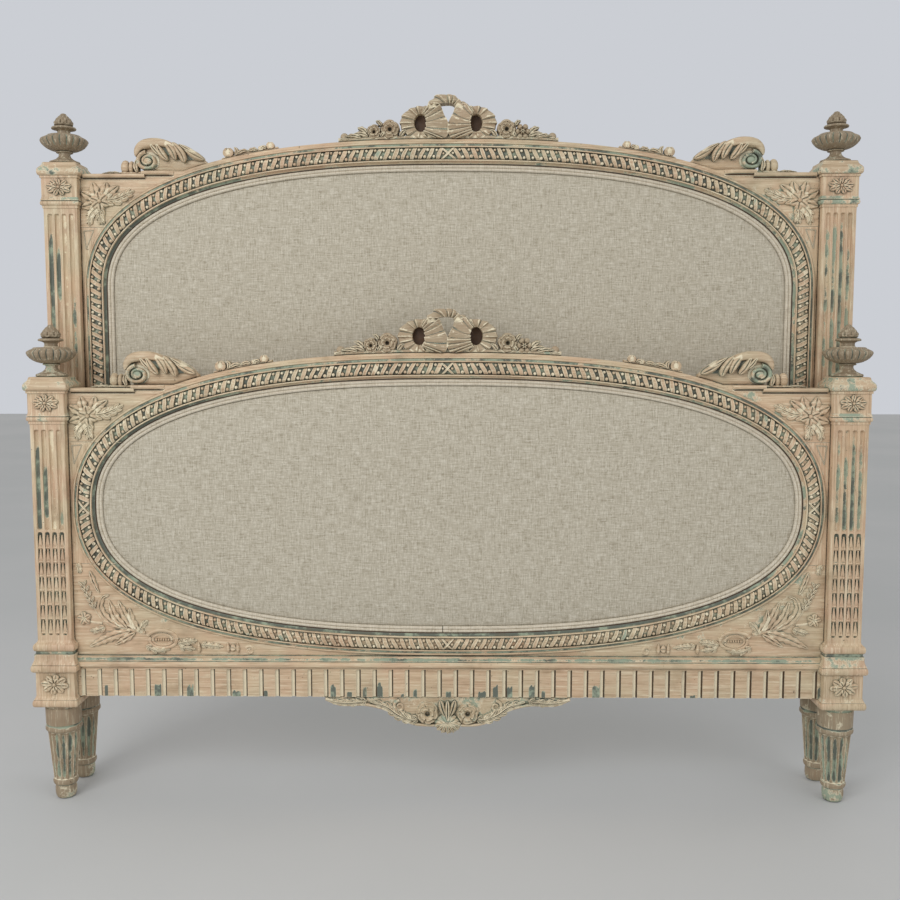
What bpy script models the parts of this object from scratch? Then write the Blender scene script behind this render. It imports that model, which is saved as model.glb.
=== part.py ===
"""Carved and painted bedstead: an upholstered headboard and footboard, standing one before the other."""

import math

import bpy
import bmesh
from mathutils import Matrix, Vector

# Layout of the two boards
POST_X = 0.8055            # middle of the bed to a post's axis
BOARD_SPACING = 0.108      # between the post axes of the two boards
HEAD_LIFT = 0.4415         # how much higher the headboard's arch sits
CLEAR = 0.0003             # clearance between pieces that touch

# Square posts
SHAFT_HALF = 0.0350
UPPER_BLOCK_HALF = 0.0375
LOWER_BLOCK_HALF = 0.0400
PLINTH_OUT = 0.0065        # how far the plinth stands out from the lower block
BASE_OUT = 0.0075          # the same for the moulding above the lower block
TORUS_OUT = 0.0080         # torus at the foot of the shaft
COLLAR_OUT = 0.0055        # collar at the head of the shaft
CAP_OUT = 0.0070           # cap past the upper block
PLINTH_H = 0.0230
LOWER_BLOCK_H = 0.0500
BASE_H = 0.0375
BASE_FILLET_H = 0.0060
TORUS_H = 0.0215
NECK_FILLET_H = 0.0055
COLLAR_H = 0.0170
UPPER_BLOCK_H = 0.0390
TOP_FILLET_H = 0.0050
CAP_H = 0.0277
SEAT_DEPTH = 0.0002        # depth of the flat left on the shaft where a board meets it

# Flutes on the posts
FLUTES = 4
FLUTE_PITCH = 0.0148
FLUTE_WIDTH = 0.0096
FLUTE_DEPTH = 0.0038
FLUTE_END = 0.0110         # plain shaft left above and below the flutes
STOPPED_H = 0.2140         # height of the shallow lower flutes
STOPPED_DEPTH = 0.0016
FLUTE_BREAK = 0.0050       # plain shaft between upper and lower flutes
ROSETTE_R = 0.0150
ROSETTE_OUT = 0.0045

# Turned legs and finials
LEG_H = 0.2057
FOOT_H = 0.0300
FOOT_R = 0.0215
LEG_RING_LOW_H = 0.0135
LEG_RING_LOW_R = 0.0235
LEG_RING_TOP_H = 0.0150
LEG_RING_TOP_R = 0.0345
DRUM_H = 0.0450
DRUM_R = 0.0335
TAPER_LOW_R = 0.0228
TAPER_TOP_R = 0.0300
LEG_FLUTES = 8
LEG_FLUTE_DEPTH = 0.0035
LEG_TENON_R = 0.0120
LEG_TENON_H = 0.0300
FINIAL_DISC_R = 0.0315
FINIAL_DISC_H = 0.0135
SPOOL_R = 0.0115
SPOOL_H = 0.0135
BOWL_R = 0.0485
BOWL_H = 0.0300
GADROON_DEPTH = 0.0018
NECK_R = 0.0145
NECK_H = 0.0135
FLANGE_R = 0.0230
FLANGE_H = 0.0070
BUD_R = 0.0190
BUD_H = 0.0240
FINIAL_DOWEL_R = 0.0060
FINIAL_DOWEL_H = 0.0550

# Frame of a board, measured outwards from the edge of the upholstery
BOARD_T = 0.0360
OVAL_B = 0.2470
OVAL_POWER = 2.45
WELT_W = 0.0135
COVE_W = 0.0090
RIBBON_W = 0.0250
BEAD_W = 0.0130
TOP_FILLET_W = 0.0055
BEAD_TO_POST = 0.0045
REBATE_Y = -0.0110
COVE_Y = -0.0165
RIBBON_LOW_Y = -0.0225
RIBBON_TOP_Y = -0.0320
BEAD_TOP_Y = -0.0275
BACK_REBATE = 0.0080
STEP_LOW = 0.2425          # top of the corner above the oval's middle
STEP_RISE = 0.0060
STEP_INNER = 0.1320        # step in the top edge, from the end of the board
CORNICE_GAP = 0.0010       # between the small cornice and the oval's outer bead
CORNICE_H = 0.0120
CORNICE_OUT = 0.0055
UPPER_JOINT = 0.1330       # joint of stile and top rail above the oval's middle
LOWER_JOINT = 0.1175       # joint of stile and bottom rail below the oval's middle
HEAD_JOINT_RISE = 0.2365   # joint of stile and bottom rail above the headboard's lower edge
CAP_ABOVE_STEP = -0.0055   # underside of the cap against the corner's top
TENON_T = 0.0120
TENON_L = 0.0230
TENON_SHOULDER = 0.0150

# Relief carving on the frames
RELIEF = 0.0060
FLOWER_IN = 0.0450         # from the end of the board
FLOWER_Z = 0.1900          # above the oval's middle
FLOWER_R = 0.0250
FLOWER_LEAVES = 3
FOLIAGE = ((0.028, 0.130, 0.030, 1.2), (0.050, 0.075, 0.036, 0.9), (0.105, 0.036, 0.040, 0.5),
           (0.185, 0.018, 0.042, 0.2))

# Lower edge of the boards
APRON_ABOVE_LEG = 0.0178   # underside of the apron above the top of a leg
APRON_H = 0.0620
APRON_T = 0.0300
APRON_FRONT_Y = -0.0220
APRON_FLUTES = 46
APRON_FLUTE_W = 0.0088
APRON_FLUTE_TOP = 0.0040
STRIP_H = 0.0245
STRIP_OUT = 0.0115
STRIP_MARGIN = 0.0005
HEAD_OPENING_RISE = 0.1765 # opening of the headboard above its lower edge
HEAD_CORNER_R = 0.0600
PENDANT_HALF = 0.2550
PENDANT_DROP = 0.0770
PENDANT_T = 0.0220
PENDANT_ROSE_X = 0.0415
PENDANT_ROSE_R = 0.0225
TONGUE_T = 0.0080
TONGUE_H = 0.0120
TONGUE_HALF = 0.1500

# Carved pieces on the top rail
CARVING_T = 0.0260
CARVING_FRONT_Y = -0.0160
CREST_HALF = 0.2280
CREST_BAND = 0.0090
BOW_X = 0.0540
BOW_Z = 0.0310
BOW_A = 0.0470
BOW_B = 0.0365
BOW_HOLE_R = 0.0160
KNOT_HALF = 0.0240
KNOT_Z = 0.0735
KNOT_R = 0.0105
ROSE_X = 0.1180
ROSE_R = 0.0200
LEAF_PITCH = 0.0310
LEAF_R = 0.0130
LEAF_SHRINK = 0.0022
CARVING_LIP = 0.0020       # how far a carving's lumps stop above its underside
DOWEL_R = 0.0040
DOWEL_H = 0.0200
CREST_DOWEL_X = 0.1000
SCROLL_START = 0.2700      # the scroll's places, from the end of the board
SCROLL_END = 0.0860
SCROLL_DOWEL = 0.1780
VOLUTE_IN = 0.1450
VOLUTE_R = 0.0210
SCROLL_RISE = 0.0640
SPRAY_START = 0.4150       # the spray's places, from the end of the board
SPRAY_END = 0.2980
SPRAY_BAND = 0.0060
SPRAY_BUD_R = 0.0115
SPRAY_PIN = 0.3570

# Upholstery and hardware
PAD_EDGE_Y = -0.0140
PAD_CROWN = 0.0110
WELT_TOP_Y = -0.0185
WELT_VALLEY_Y = -0.0150
PANEL_T = 0.0060
PANEL_LAP = 0.0250
PLATE_W = 0.0340
PLATE_H = 0.0420
PLATE_T = 0.0040
STUD_R = 0.0030
STUD_L = 0.0220
STUD_SPACING = 0.0240

# Roundness
QUARTER_STEPS = 11
CORNER_STEPS = 4
RIBBON_FACETS = 3
FINIAL_SIDES = 12
DOWEL_SIDES = 6

# Sizes that follow
BOARD_X = POST_X - SHAFT_HALF - SEAT_DEPTH - CLEAR
RING_W = WELT_W + COVE_W + RIBBON_W + BEAD_W
OVAL_A = BOARD_X - BEAD_TO_POST - RING_W
TOP_EDGE = RING_W + TOP_FILLET_W
FRAME_Y = BOARD_T / 2
STEP_HIGH = STEP_LOW + STEP_RISE
CAP_HALF = UPPER_BLOCK_HALF + CAP_OUT
APRON_BOTTOM = LEG_H + APRON_ABOVE_LEG
HEAD_OPENING_Z = APRON_BOTTOM + HEAD_OPENING_RISE
HEAD_JOINT_Z = APRON_BOTTOM + HEAD_JOINT_RISE
RAIL_BOTTOM = APRON_BOTTOM + APRON_H + CLEAR
FOOT_OVAL_Z = RAIL_BOTTOM + STRIP_H + STRIP_MARGIN + RING_W + OVAL_B
HEAD_OVAL_Z = FOOT_OVAL_Z + HEAD_LIFT
POST_BOTTOM = LEG_H + CLEAR
CARVING_BACK_Y = CARVING_FRONT_Y + CARVING_T
CARVING_MID_Y = CARVING_FRONT_Y + CARVING_T / 2
STEP_INNER_X = BOARD_X - STEP_INNER
FLOWER_X = BOARD_X - FLOWER_IN
SCROLL_IN_X = BOARD_X - SCROLL_START
SCROLL_OUT_X = BOARD_X - SCROLL_END
SCROLL_DOWEL_X = BOARD_X - SCROLL_DOWEL
VOLUTE_X = BOARD_X - VOLUTE_IN
SPRAY_IN_X = BOARD_X - SPRAY_START
SPRAY_OUT_X = BOARD_X - SPRAY_END
SPRAY_PIN_X = BOARD_X - SPRAY_PIN

PAINT = (0.52, 0.36, 0.25, 1.0)
PAINT_PALE = (0.60, 0.47, 0.35, 1.0)
LINEN = (0.36, 0.31, 0.25, 1.0)
WELT_LINEN = (0.42, 0.38, 0.32, 1.0)
IRON = (0.06, 0.055, 0.05, 1.0)


def material(name, color, roughness, metallic):
    """One Principled material."""
    mat = bpy.data.materials.new(name)
    mat.use_nodes = True
    shader = mat.node_tree.nodes["Principled BSDF"]
    shader.inputs["Base Color"].default_value = color
    shader.inputs["Roughness"].default_value = roughness
    shader.inputs["Metallic"].default_value = metallic
    return mat


def mesh_object(name, verts, faces):
    """An object from corner points and faces, with its faces turned outwards."""
    mesh = bpy.data.meshes.new(name)
    mesh.from_pydata([tuple(v) for v in verts], [], faces)
    work = bmesh.new()
    work.from_mesh(mesh)
    bmesh.ops.recalc_face_normals(work, faces=work.faces[:])
    work.to_mesh(mesh)
    work.free()
    obj = bpy.data.objects.new(name, mesh)
    bpy.context.scene.collection.objects.link(obj)
    return obj


def join_by(target, tools, operation):
    """Union or cut of a solid and a list of others, kept in the first one."""
    group = bpy.data.collections.new("tools")
    for tool in tools:
        group.objects.link(tool)
    step = target.modifiers.new("step", "BOOLEAN")
    step.operation = operation
    step.solver = "EXACT"
    step.operand_type = "COLLECTION"
    step.collection = group
    bpy.context.view_layer.update()
    graph = bpy.context.evaluated_depsgraph_get()
    made = bpy.data.meshes.new_from_object(target.evaluated_get(graph))
    target.modifiers.clear()
    old = target.data
    target.data = made
    bpy.data.meshes.remove(old)
    for tool in tools:
        used = tool.data
        bpy.data.objects.remove(tool)
        bpy.data.meshes.remove(used)
    bpy.data.collections.remove(group)
    return target


def add(target, *tools):
    return join_by(target, tools, "UNION")


def cut(target, *tools):
    return join_by(target, tools, "DIFFERENCE")


def clone(obj, name):
    """A separate copy of a working solid."""
    twin = bpy.data.objects.new(name, obj.data.copy())
    bpy.context.scene.collection.objects.link(twin)
    return twin


def box(x0, x1, y0, y1, z0, z1):
    """A rectangular block between two corners."""
    verts = [(x, y, z) for x in (x0, x1) for y in (y0, y1) for z in (z0, z1)]
    faces = [(0, 1, 3, 2), (4, 6, 7, 5), (0, 4, 5, 1), (2, 3, 7, 6), (0, 2, 6, 4), (1, 5, 7, 3)]
    return mesh_object("block", verts, faces)


def prism(outline, y0, y1):
    """A flat outline in X and Z, given thickness from y0 to y1."""
    n = len(outline)
    verts = [(x, y0, z) for x, z in outline] + [(x, y1, z) for x, z in outline]
    faces = [tuple(range(n)), tuple(range(2 * n - 1, n - 1, -1))]
    faces += [(i, (i + 1) % n, n + (i + 1) % n, n + i) for i in range(n)]
    return mesh_object("outline", verts, faces)


def square_loft(levels):
    """A square upright with its half width given at each height."""
    verts = []
    for z, half in levels:
        verts += [(-half, -half, z), (half, -half, z), (half, half, z), (-half, half, z)]
    faces = [(3, 2, 1, 0)]
    for k in range(len(levels) - 1):
        for i in range(4):
            j = (i + 1) % 4
            faces.append((4 * k + i, 4 * k + j, 4 * k + 4 + j, 4 * k + 4 + i))
    top = 4 * (len(levels) - 1)
    faces.append((top, top + 1, top + 2, top + 3))
    return mesh_object("upright", verts, faces)


def turned(profile, sides, dent=None):
    """A turned solid from radii and heights, bottom to top; dent(k, i) draws in single points."""
    verts = []
    for k, (r, z) in enumerate(profile):
        for i in range(sides):
            a = 2 * math.pi * i / sides
            rr = r - (dent(k, i) if dent else 0.0)
            verts.append((rr * math.cos(a), rr * math.sin(a), z))
    faces = [tuple(range(sides - 1, -1, -1))]
    for k in range(len(profile) - 1):
        for i in range(sides):
            j = (i + 1) % sides
            faces.append((k * sides + i, k * sides + j, (k + 1) * sides + j, (k + 1) * sides + i))
    last = (len(profile) - 1) * sides
    faces.append(tuple(range(last, last + sides)))
    return mesh_object("turned", verts, faces)


def rod(radius, start, end, sides=DOWEL_SIDES):
    """A round rod between two points."""
    start = Vector(start)
    end = Vector(end)
    turn = (end - start).to_track_quat("Z", "Y").to_matrix().to_4x4()
    length = (end - start).length
    obj = turned([(radius, 0.0), (radius, length)], sides)
    obj.data.transform(Matrix.Translation(start) @ turn)
    return obj


def dome(x, y, z, rx, ry, rz, sides=10, rings=4, tilt=0.0):
    """A rounded lump with three radii, turned in its own plane by a tilt."""
    verts = [(x, y - ry, z)]
    for k in range(1, rings):
        p = math.pi * k / rings
        for i in range(sides):
            a = 2 * math.pi * (i + 0.5 * (k % 2)) / sides
            px = rx * math.sin(p) * math.cos(a)
            pz = rz * math.sin(p) * math.sin(a)
            verts.append((x + px * math.cos(tilt) - pz * math.sin(tilt), y - ry * math.cos(p),
                          z + px * math.sin(tilt) + pz * math.cos(tilt)))
    verts.append((x, y + ry, z))
    end = len(verts) - 1
    faces = [(0, 1 + i, 1 + (i + 1) % sides) for i in range(sides)]
    for k in range(rings - 2):
        a = 1 + k * sides
        b = a + sides
        for i in range(sides):
            j = (i + 1) % sides
            faces.append((a + i, b + i, b + j, a + j))
    a = 1 + (rings - 2) * sides
    faces += [(a + (i + 1) % sides, a + i, end) for i in range(sides)]
    return mesh_object("lump", verts, faces)


def groove(x, y, z0, z1, half, depth):
    """A flute along Z with sloping sides and ends, cut into a face that looks along minus Y at y."""
    rise = 0.002
    grow = rise * half * 0.5 / depth
    verts = []
    for wide, deep in ((half + grow, -rise), (half * 0.5, depth)):
        slope = wide - half
        low = z0 - slope
        high = z1 + slope
        for px, pz in ((-wide, low), (wide, low), (wide, high), (-wide, high)):
            verts.append((x + px, y + deep, pz))
    faces = [(0, 1, 2, 3), (7, 6, 5, 4), (0, 4, 5, 1), (1, 5, 6, 2), (2, 6, 7, 3), (3, 7, 4, 0)]
    return mesh_object("flute", verts, faces)


def mirror_mesh(mesh):
    """The same mesh seen in a mirror across the middle of the bed."""
    twin = mesh.copy()
    twin.transform(Matrix.Diagonal((-1.0, 1.0, 1.0, 1.0)))
    twin.flip_normals()
    return twin


def quarter():
    """Stations on a quarter of the oval, from its top to its side, with outward directions."""
    fine = 1600
    raw = []
    for i in range(fine + 1):
        t = math.pi / 2 * (1 - i / fine)
        x = OVAL_A * max(math.cos(t), 0.0) ** (2 / OVAL_POWER)
        z = OVAL_B * max(math.sin(t), 0.0) ** (2 / OVAL_POWER)
        raw.append((x, z))
    raw[0] = (0.0, OVAL_B)
    raw[-1] = (OVAL_A, 0.0)
    weight = [0.0]
    normals = []
    for i in range(fine):
        dx = raw[i + 1][0] - raw[i][0]
        dz = raw[i + 1][1] - raw[i][1]
        normals.append(math.atan2(dx, -dz))
        turn = abs(normals[i] - normals[i - 1]) if i else 0.0
        weight.append(weight[-1] + math.hypot(dx, dz) + OVAL_B * turn)
    out = []
    at = 0
    for k in range(QUARTER_STEPS + 1):
        goal = weight[-1] * k / QUARTER_STEPS
        while at < fine and weight[at] < goal - 1e-12:
            at += 1
        side = normals[min(max(at - 1, 0), fine - 1)]
        out.append((raw[at][0], raw[at][1], math.cos(side), math.sin(side)))
    out[0] = (0.0, OVAL_B, 0.0, 1.0)
    out[-1] = (OVAL_A, 0.0, 1.0, 0.0)
    return out


QUARTER = quarter()


def oval_path():
    """The footboard's whole oval, clockwise from the top."""
    q = QUARTER
    path = [(x, z, a, b) for x, z, a, b in q[:-1]]
    path += [(x, -z, a, -b) for x, z, a, b in reversed(q[1:])]
    path += [(-x, -z, -a, -b) for x, z, a, b in q[:-1]]
    path += [(-x, z, -a, b) for x, z, a, b in reversed(q[1:])]
    return path


def arch_path():
    """The headboard's arch with straight sides and rounded lower corners, clockwise."""
    low = HEAD_OPENING_Z - HEAD_OVAL_Z
    half = list(QUARTER)
    for k in range(CORNER_STEPS + 1):
        a = math.pi / 2 * k / CORNER_STEPS
        x = OVAL_A - HEAD_CORNER_R + HEAD_CORNER_R * math.cos(a)
        z = low + HEAD_CORNER_R - HEAD_CORNER_R * math.sin(a)
        half.append((x, z, math.cos(a), -math.sin(a)))
    other = [(-x, z, -a, b) for x, z, a, b in reversed(half[1:])]
    return half + other


def offset(path, s):
    """The path moved outwards by s."""
    return [(x + a * s, z + b * s) for x, z, a, b in path]


def swept_ring(path, profile):
    """A closed ring whose section, in outward distance and depth, follows a path."""
    n = len(profile)
    m = len(path)
    verts = []
    for x, z, a, b in path:
        verts += [(x + a * s, y, z + b * s) for s, y in profile]
    faces = []
    for k in range(m):
        j = (k + 1) % m
        for i in range(n):
            h = (i + 1) % n
            faces.append((k * n + i, k * n + h, j * n + h, j * n + i))
    return mesh_object("ring", verts, faces)


def rail_edge(x):
    """Height of the top rail's upper edge above the oval's middle, at a distance from the centre."""
    x = abs(x)
    pts = offset(QUARTER, TOP_EDGE)
    height = STEP_LOW
    for (x0, z0), (x1, z1) in zip(pts, pts[1:]):
        if x0 <= x <= x1 and x1 > x0:
            height = z0 + (z1 - z0) * (x - x0) / (x1 - x0)
            break
    if x <= STEP_INNER_X:
        return max(height, STEP_HIGH)
    return STEP_LOW


def ring_x(s, height):
    """How far out the oval, moved outwards by s, comes down to a height above its middle."""
    pts = offset(QUARTER, s)
    for (x0, z0), (x1, z1) in zip(pts, pts[1:]):
        if z0 >= height > z1:
            return x0 + (x1 - x0) * (z0 - height) / (z0 - z1)
    return pts[-1][0]


def edge_points(x0, x1, lift):
    """Points along the upper edge of the top rail between two distances, raised by a lift."""
    pts = offset(QUARTER, TOP_EDGE)
    inside = [p for p in pts if x0 + 1e-6 < p[0] < x1 - 1e-6 and p[1] > STEP_HIGH]
    meet = None
    for (ax, az), (bx, bz) in zip(pts, pts[1:]):
        if az >= STEP_HIGH > bz:
            meet = ax + (bx - ax) * (az - STEP_HIGH) / (az - bz)
    out = [(x0, rail_edge(x0) + lift)]
    out += [(x, z + lift) for x, z in inside]
    if x0 < meet < x1:
        out.append((meet, STEP_HIGH + lift))
    if x1 > STEP_INNER_X:
        out += [(STEP_INNER_X + lift, STEP_HIGH + lift), (STEP_INNER_X + lift, STEP_LOW + lift)]
    out.append((x1, rail_edge(x1) + lift))
    return out


def board_outline(oval_z, bottom):
    """Outline of a board's frame, about the oval's middle."""
    cap_x = POST_X - CAP_HALF - CLEAR
    under_cap = STEP_LOW + CAP_ABOVE_STEP - CLEAR
    half = edge_points(0.0, STEP_INNER_X, 0.0)
    half += [(STEP_INNER_X, STEP_LOW), (cap_x, STEP_LOW), (cap_x, under_cap), (BOARD_X, under_cap)]
    half.append((BOARD_X, bottom - oval_z))
    return half + [(-x, z) for x, z in reversed(half[1:])]


def ring_profile():
    """Section of the carved frame from the edge of the upholstery outwards."""
    cove = WELT_W + COVE_W
    bead = cove + RIBBON_W
    mid = cove + RIBBON_W / 2
    rise = RIBBON_TOP_Y - RIBBON_LOW_Y
    points = [(0.0, REBATE_Y), (WELT_W, REBATE_Y), (WELT_W, COVE_Y)]
    points.append((cove, RIBBON_LOW_Y - 0.0030))
    for k in range(RIBBON_FACETS):
        a = math.pi * (k + 0.5) / RIBBON_FACETS
        points.append((mid - RIBBON_W / 2 * 0.92 * math.cos(a), RIBBON_LOW_Y + rise * math.sin(a)))
    points.append((bead, RIBBON_LOW_Y))
    points += [(bead + BEAD_W * 0.22, BEAD_TOP_Y), (bead + BEAD_W * 0.72, BEAD_TOP_Y)]
    points.append((bead + BEAD_W, -FRAME_Y))
    return points


def crossing(x, z, a, b, outline):
    """Where a ray from a point meets an outline."""
    best = None
    for (x0, z0), (x1, z1) in zip(outline, outline[1:] + outline[:1]):
        ex = x1 - x0
        ez = z1 - z0
        det = a * ez - b * ex
        if abs(det) < 1e-12:
            continue
        t = ((x0 - x) * ez - (z0 - z) * ex) / det
        u = ((x0 - x) * b - (z0 - z) * a) / det
        if t > 1e-6 and -1e-9 <= u <= 1 + 1e-9 and (best is None or t < best):
            best = t
    return best


def corner_stations(path, outline):
    """The path with added stations that look straight at the corners of an outline."""
    stations = [(k, 0.0) for k in range(len(path))]
    n = len(path)
    for cx, cz in outline:
        for k in range(n):
            x0, z0, a0, b0 = path[k]
            x1, z1, a1, b1 = path[(k + 1) % n]
            side0 = (cx - x0) * b0 - (cz - z0) * a0
            side1 = (cx - x1) * b1 - (cz - z1) * a1
            ahead = (cx - x0) * a0 + (cz - z0) * b0 > 0
            if not ahead or side0 * side1 >= 0:
                continue
            lo = 0.0
            hi = 1.0
            for step in range(60):
                mid = (lo + hi) / 2
                x, z, a, b = between(path, k, mid)
                side = (cx - x) * b - (cz - z) * a
                if side * side0 > 0:
                    lo = mid
                else:
                    hi = mid
            if 0.02 < lo < 0.98:
                stations.append((k, lo))
            break
    return [between(path, k, t) for k, t in sorted(stations)]


def between(path, k, t):
    """A station between two neighbours on a path."""
    x0, z0, a0, b0 = path[k]
    x1, z1, a1, b1 = path[(k + 1) % len(path)]
    a = a0 + (a1 - a0) * t
    b = b0 + (b1 - b0) * t
    size = math.hypot(a, b)
    return (x0 + (x1 - x0) * t, z0 + (z1 - z0) * t, a / size, b / size)


def frame_blank(path, outline):
    """The whole frame, moulding and board in one, before it is split at its joints."""
    face = ring_profile()
    verts = []
    stations = corner_stations(path, outline)
    for x, z, a, b in stations:
        far = crossing(x, z, a, b, outline)
        section = face + [(far, -FRAME_Y), (far, FRAME_Y), (PANEL_LAP + CLEAR, FRAME_Y)]
        section += [(PANEL_LAP + CLEAR, FRAME_Y - BACK_REBATE), (0.0, FRAME_Y - BACK_REBATE)]
        verts += [(x + a * d, y, z + b * d) for d, y in section]
    n = len(face) + 5
    m = len(stations)
    faces = []
    for k in range(m):
        j = (k + 1) % m
        for i in range(n):
            h = (i + 1) % n
            faces.append((k * n + i, k * n + h, j * n + h, j * n + i))
    return mesh_object("frame", verts, faces)


def part_of(blank, name, planes):
    """The part of a solid on the kept side of each plane, closed again where it was sawn."""
    piece = clone(blank, name)
    work = bmesh.new()
    work.from_mesh(piece.data)
    for point, away in planes:
        every = work.verts[:] + work.edges[:] + work.faces[:]
        bmesh.ops.bisect_plane(work, geom=every, plane_co=point, plane_no=away, clear_outer=True,
                               dist=1e-7)
        rim = [e for e in work.edges if len(e.link_faces) == 1]
        if rim:
            bmesh.ops.holes_fill(work, edges=rim, sides=0)
    bmesh.ops.recalc_face_normals(work, faces=work.faces[:])
    work.to_mesh(piece.data)
    work.free()
    return piece


def strip():
    """The straight moulding nailed along the lower edge of the footboard's frame."""
    back = -FRAME_Y - CLEAR
    out = back - STRIP_OUT
    top = STRIP_H
    section = [(back, 0.0), (out + STRIP_OUT * 0.2, 0.0), (out, top * 0.18), (out, top * 0.42),
               (out + STRIP_OUT * 0.35, top * 0.58), (out + STRIP_OUT * 0.5, top * 0.74),
               (out + STRIP_OUT * 0.38, top * 0.82), (out + STRIP_OUT * 0.5, top), (back, top)]
    return along_x(section, -BOARD_X, BOARD_X)


def along_x(section, x0, x1):
    """A straight moulding with its section in depth and height."""
    n = len(section)
    verts = [(x0, y, z) for y, z in section] + [(x1, y, z) for y, z in section]
    faces = [tuple(range(n)), tuple(range(2 * n - 1, n - 1, -1))]
    faces += [(i, (i + 1) % n, n + (i + 1) % n, n + i) for i in range(n)]
    return mesh_object("moulding", verts, faces)


def cornice():
    """The small stepped moulding along the top of the right corner of a frame."""
    y1 = -FRAME_Y - CLEAR
    y0 = y1 - CORNICE_OUT
    x0 = ring_x(RING_W + CORNICE_GAP, STEP_HIGH - CORNICE_H)
    x1 = STEP_INNER_X
    x2 = POST_X - CAP_HALF - CLEAR
    outline = [(x0, STEP_HIGH), (x1, STEP_HIGH), (x1, STEP_LOW), (x2, STEP_LOW)]
    outline.append((x2, STEP_LOW - CORNICE_H))
    outline += [(x1 - CORNICE_H * 0.5, STEP_LOW - CORNICE_H), (x1 - CORNICE_H * 0.5, STEP_HIGH - CORNICE_H)]
    outline.append((x0, STEP_HIGH - CORNICE_H))
    return prism(outline, y0, y1)


def stile_tenon(joint_z, up, grow):
    """Tenon of a stile into a rail, on the right side; grow makes its mortise."""
    x1 = BOARD_X - TENON_SHOULDER + grow
    x0 = BOARD_X - TENON_SHOULDER - 0.045 - grow
    z0 = joint_z - 0.004
    z1 = joint_z + TENON_L + grow * 2
    if not up:
        z0 = joint_z - TENON_L - grow * 2
        z1 = joint_z + 0.004
    return box(x0, x1, -TENON_T / 2 - grow, TENON_T / 2 + grow, z0, z1)


def rail_tenon(z0, z1, grow):
    """Tenon of a rail into a post, on the right side; grow makes its mortise."""
    reach = TENON_L + grow * 2
    return box(BOARD_X - 0.004, BOARD_X + reach, -TENON_T / 2 - grow, TENON_T / 2 + grow,
               z0 - grow, z1 + grow)


def flip(obj):
    """Mirror a working solid across the middle of the bed."""
    old = obj.data
    obj.data = mirror_mesh(old)
    bpy.data.meshes.remove(old)
    return obj


def frame_pieces(blank, oval_z, lower_joint_z, tenons, foliage):
    """Top rail, two stiles and bottom rail, sawn from one blank at their joint lines."""
    upper_z = UPPER_JOINT
    lower_z = lower_joint_z - oval_z
    half = CLEAR / 2
    up = Vector((0, 0, 1))
    top = part_of(blank, "top", [((0, 0, upper_z + half), -up)])
    low = part_of(blank, "low", [((0, 0, lower_z - half), up)])
    sides = [((0, 0, upper_z - half), up), ((0, 0, lower_z + half), -up), ((0, 0, 0), Vector((-1, 0, 0)))]
    right = part_of(blank, "stile", sides)
    bpy.data.objects.remove(blank)
    right = add(right, stile_tenon(upper_z, True, 0.0), stile_tenon(lower_z, False, 0.0))
    top_holes = []
    low_holes = []
    top_tongues = []
    low_tongues = []
    for side in (-1, 1):
        top_holes.append(to_side(stile_tenon(upper_z, True, CLEAR), side))
        low_holes.append(to_side(stile_tenon(lower_z, False, CLEAR), side))
        top_tongues.append(to_side(rail_tenon(*tenons["top"], 0.0), side))
        low_tongues.append(to_side(rail_tenon(*tenons["low"], 0.0), side))
        for x in (CREST_DOWEL_X, SCROLL_DOWEL_X, SPRAY_PIN_X):
            z = rail_edge(x)
            top_holes.append(rod(DOWEL_R + CLEAR, (side * x, CARVING_MID_Y, z - DOWEL_H - CLEAR),
                                 (side * x, CARVING_MID_Y, z + 0.02)))
    for side in (-1, 1):
        for spread in range(FLOWER_LEAVES):
            a = math.pi * (spread + 0.5) / FLOWER_LEAVES
            x = FLOWER_X - FLOWER_R * 0.55 * math.cos(a)
            z = FLOWER_Z - FLOWER_R * 0.55 * math.sin(a)
            tilt = side * (a if a < math.pi / 2 else a - math.pi)
            top_tongues.append(dome(side * x, -FRAME_Y, z, FLOWER_R * 0.8, RELIEF * 0.6, FLOWER_R * 0.3,
                                    6, 4, tilt))
        top_tongues.append(dome(side * FLOWER_X, -FRAME_Y, FLOWER_Z, FLOWER_R * 0.6, RELIEF,
                                FLOWER_R * 0.6, 8))
        if foliage:
            for along, rise, reach, tilt in FOLIAGE:
                x = BOARD_X - along
                low_tongues.append(dome(side * x, -FRAME_Y, foliage + rise, reach, RELIEF, reach * 0.32,
                                        6, 4, -side * tilt))
    add(cut(top, *top_holes), *top_tongues)
    add(cut(low, *low_holes), *low_tongues)
    left = flip(clone(right, "left"))
    return {"top_rail": top, "stile_right": right, "stile_left": left, "bottom_rail": low}


def to_side(obj, side):
    """A right-hand working solid, or its mirror image for the left."""
    return flip(obj) if side < 0 else obj


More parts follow.
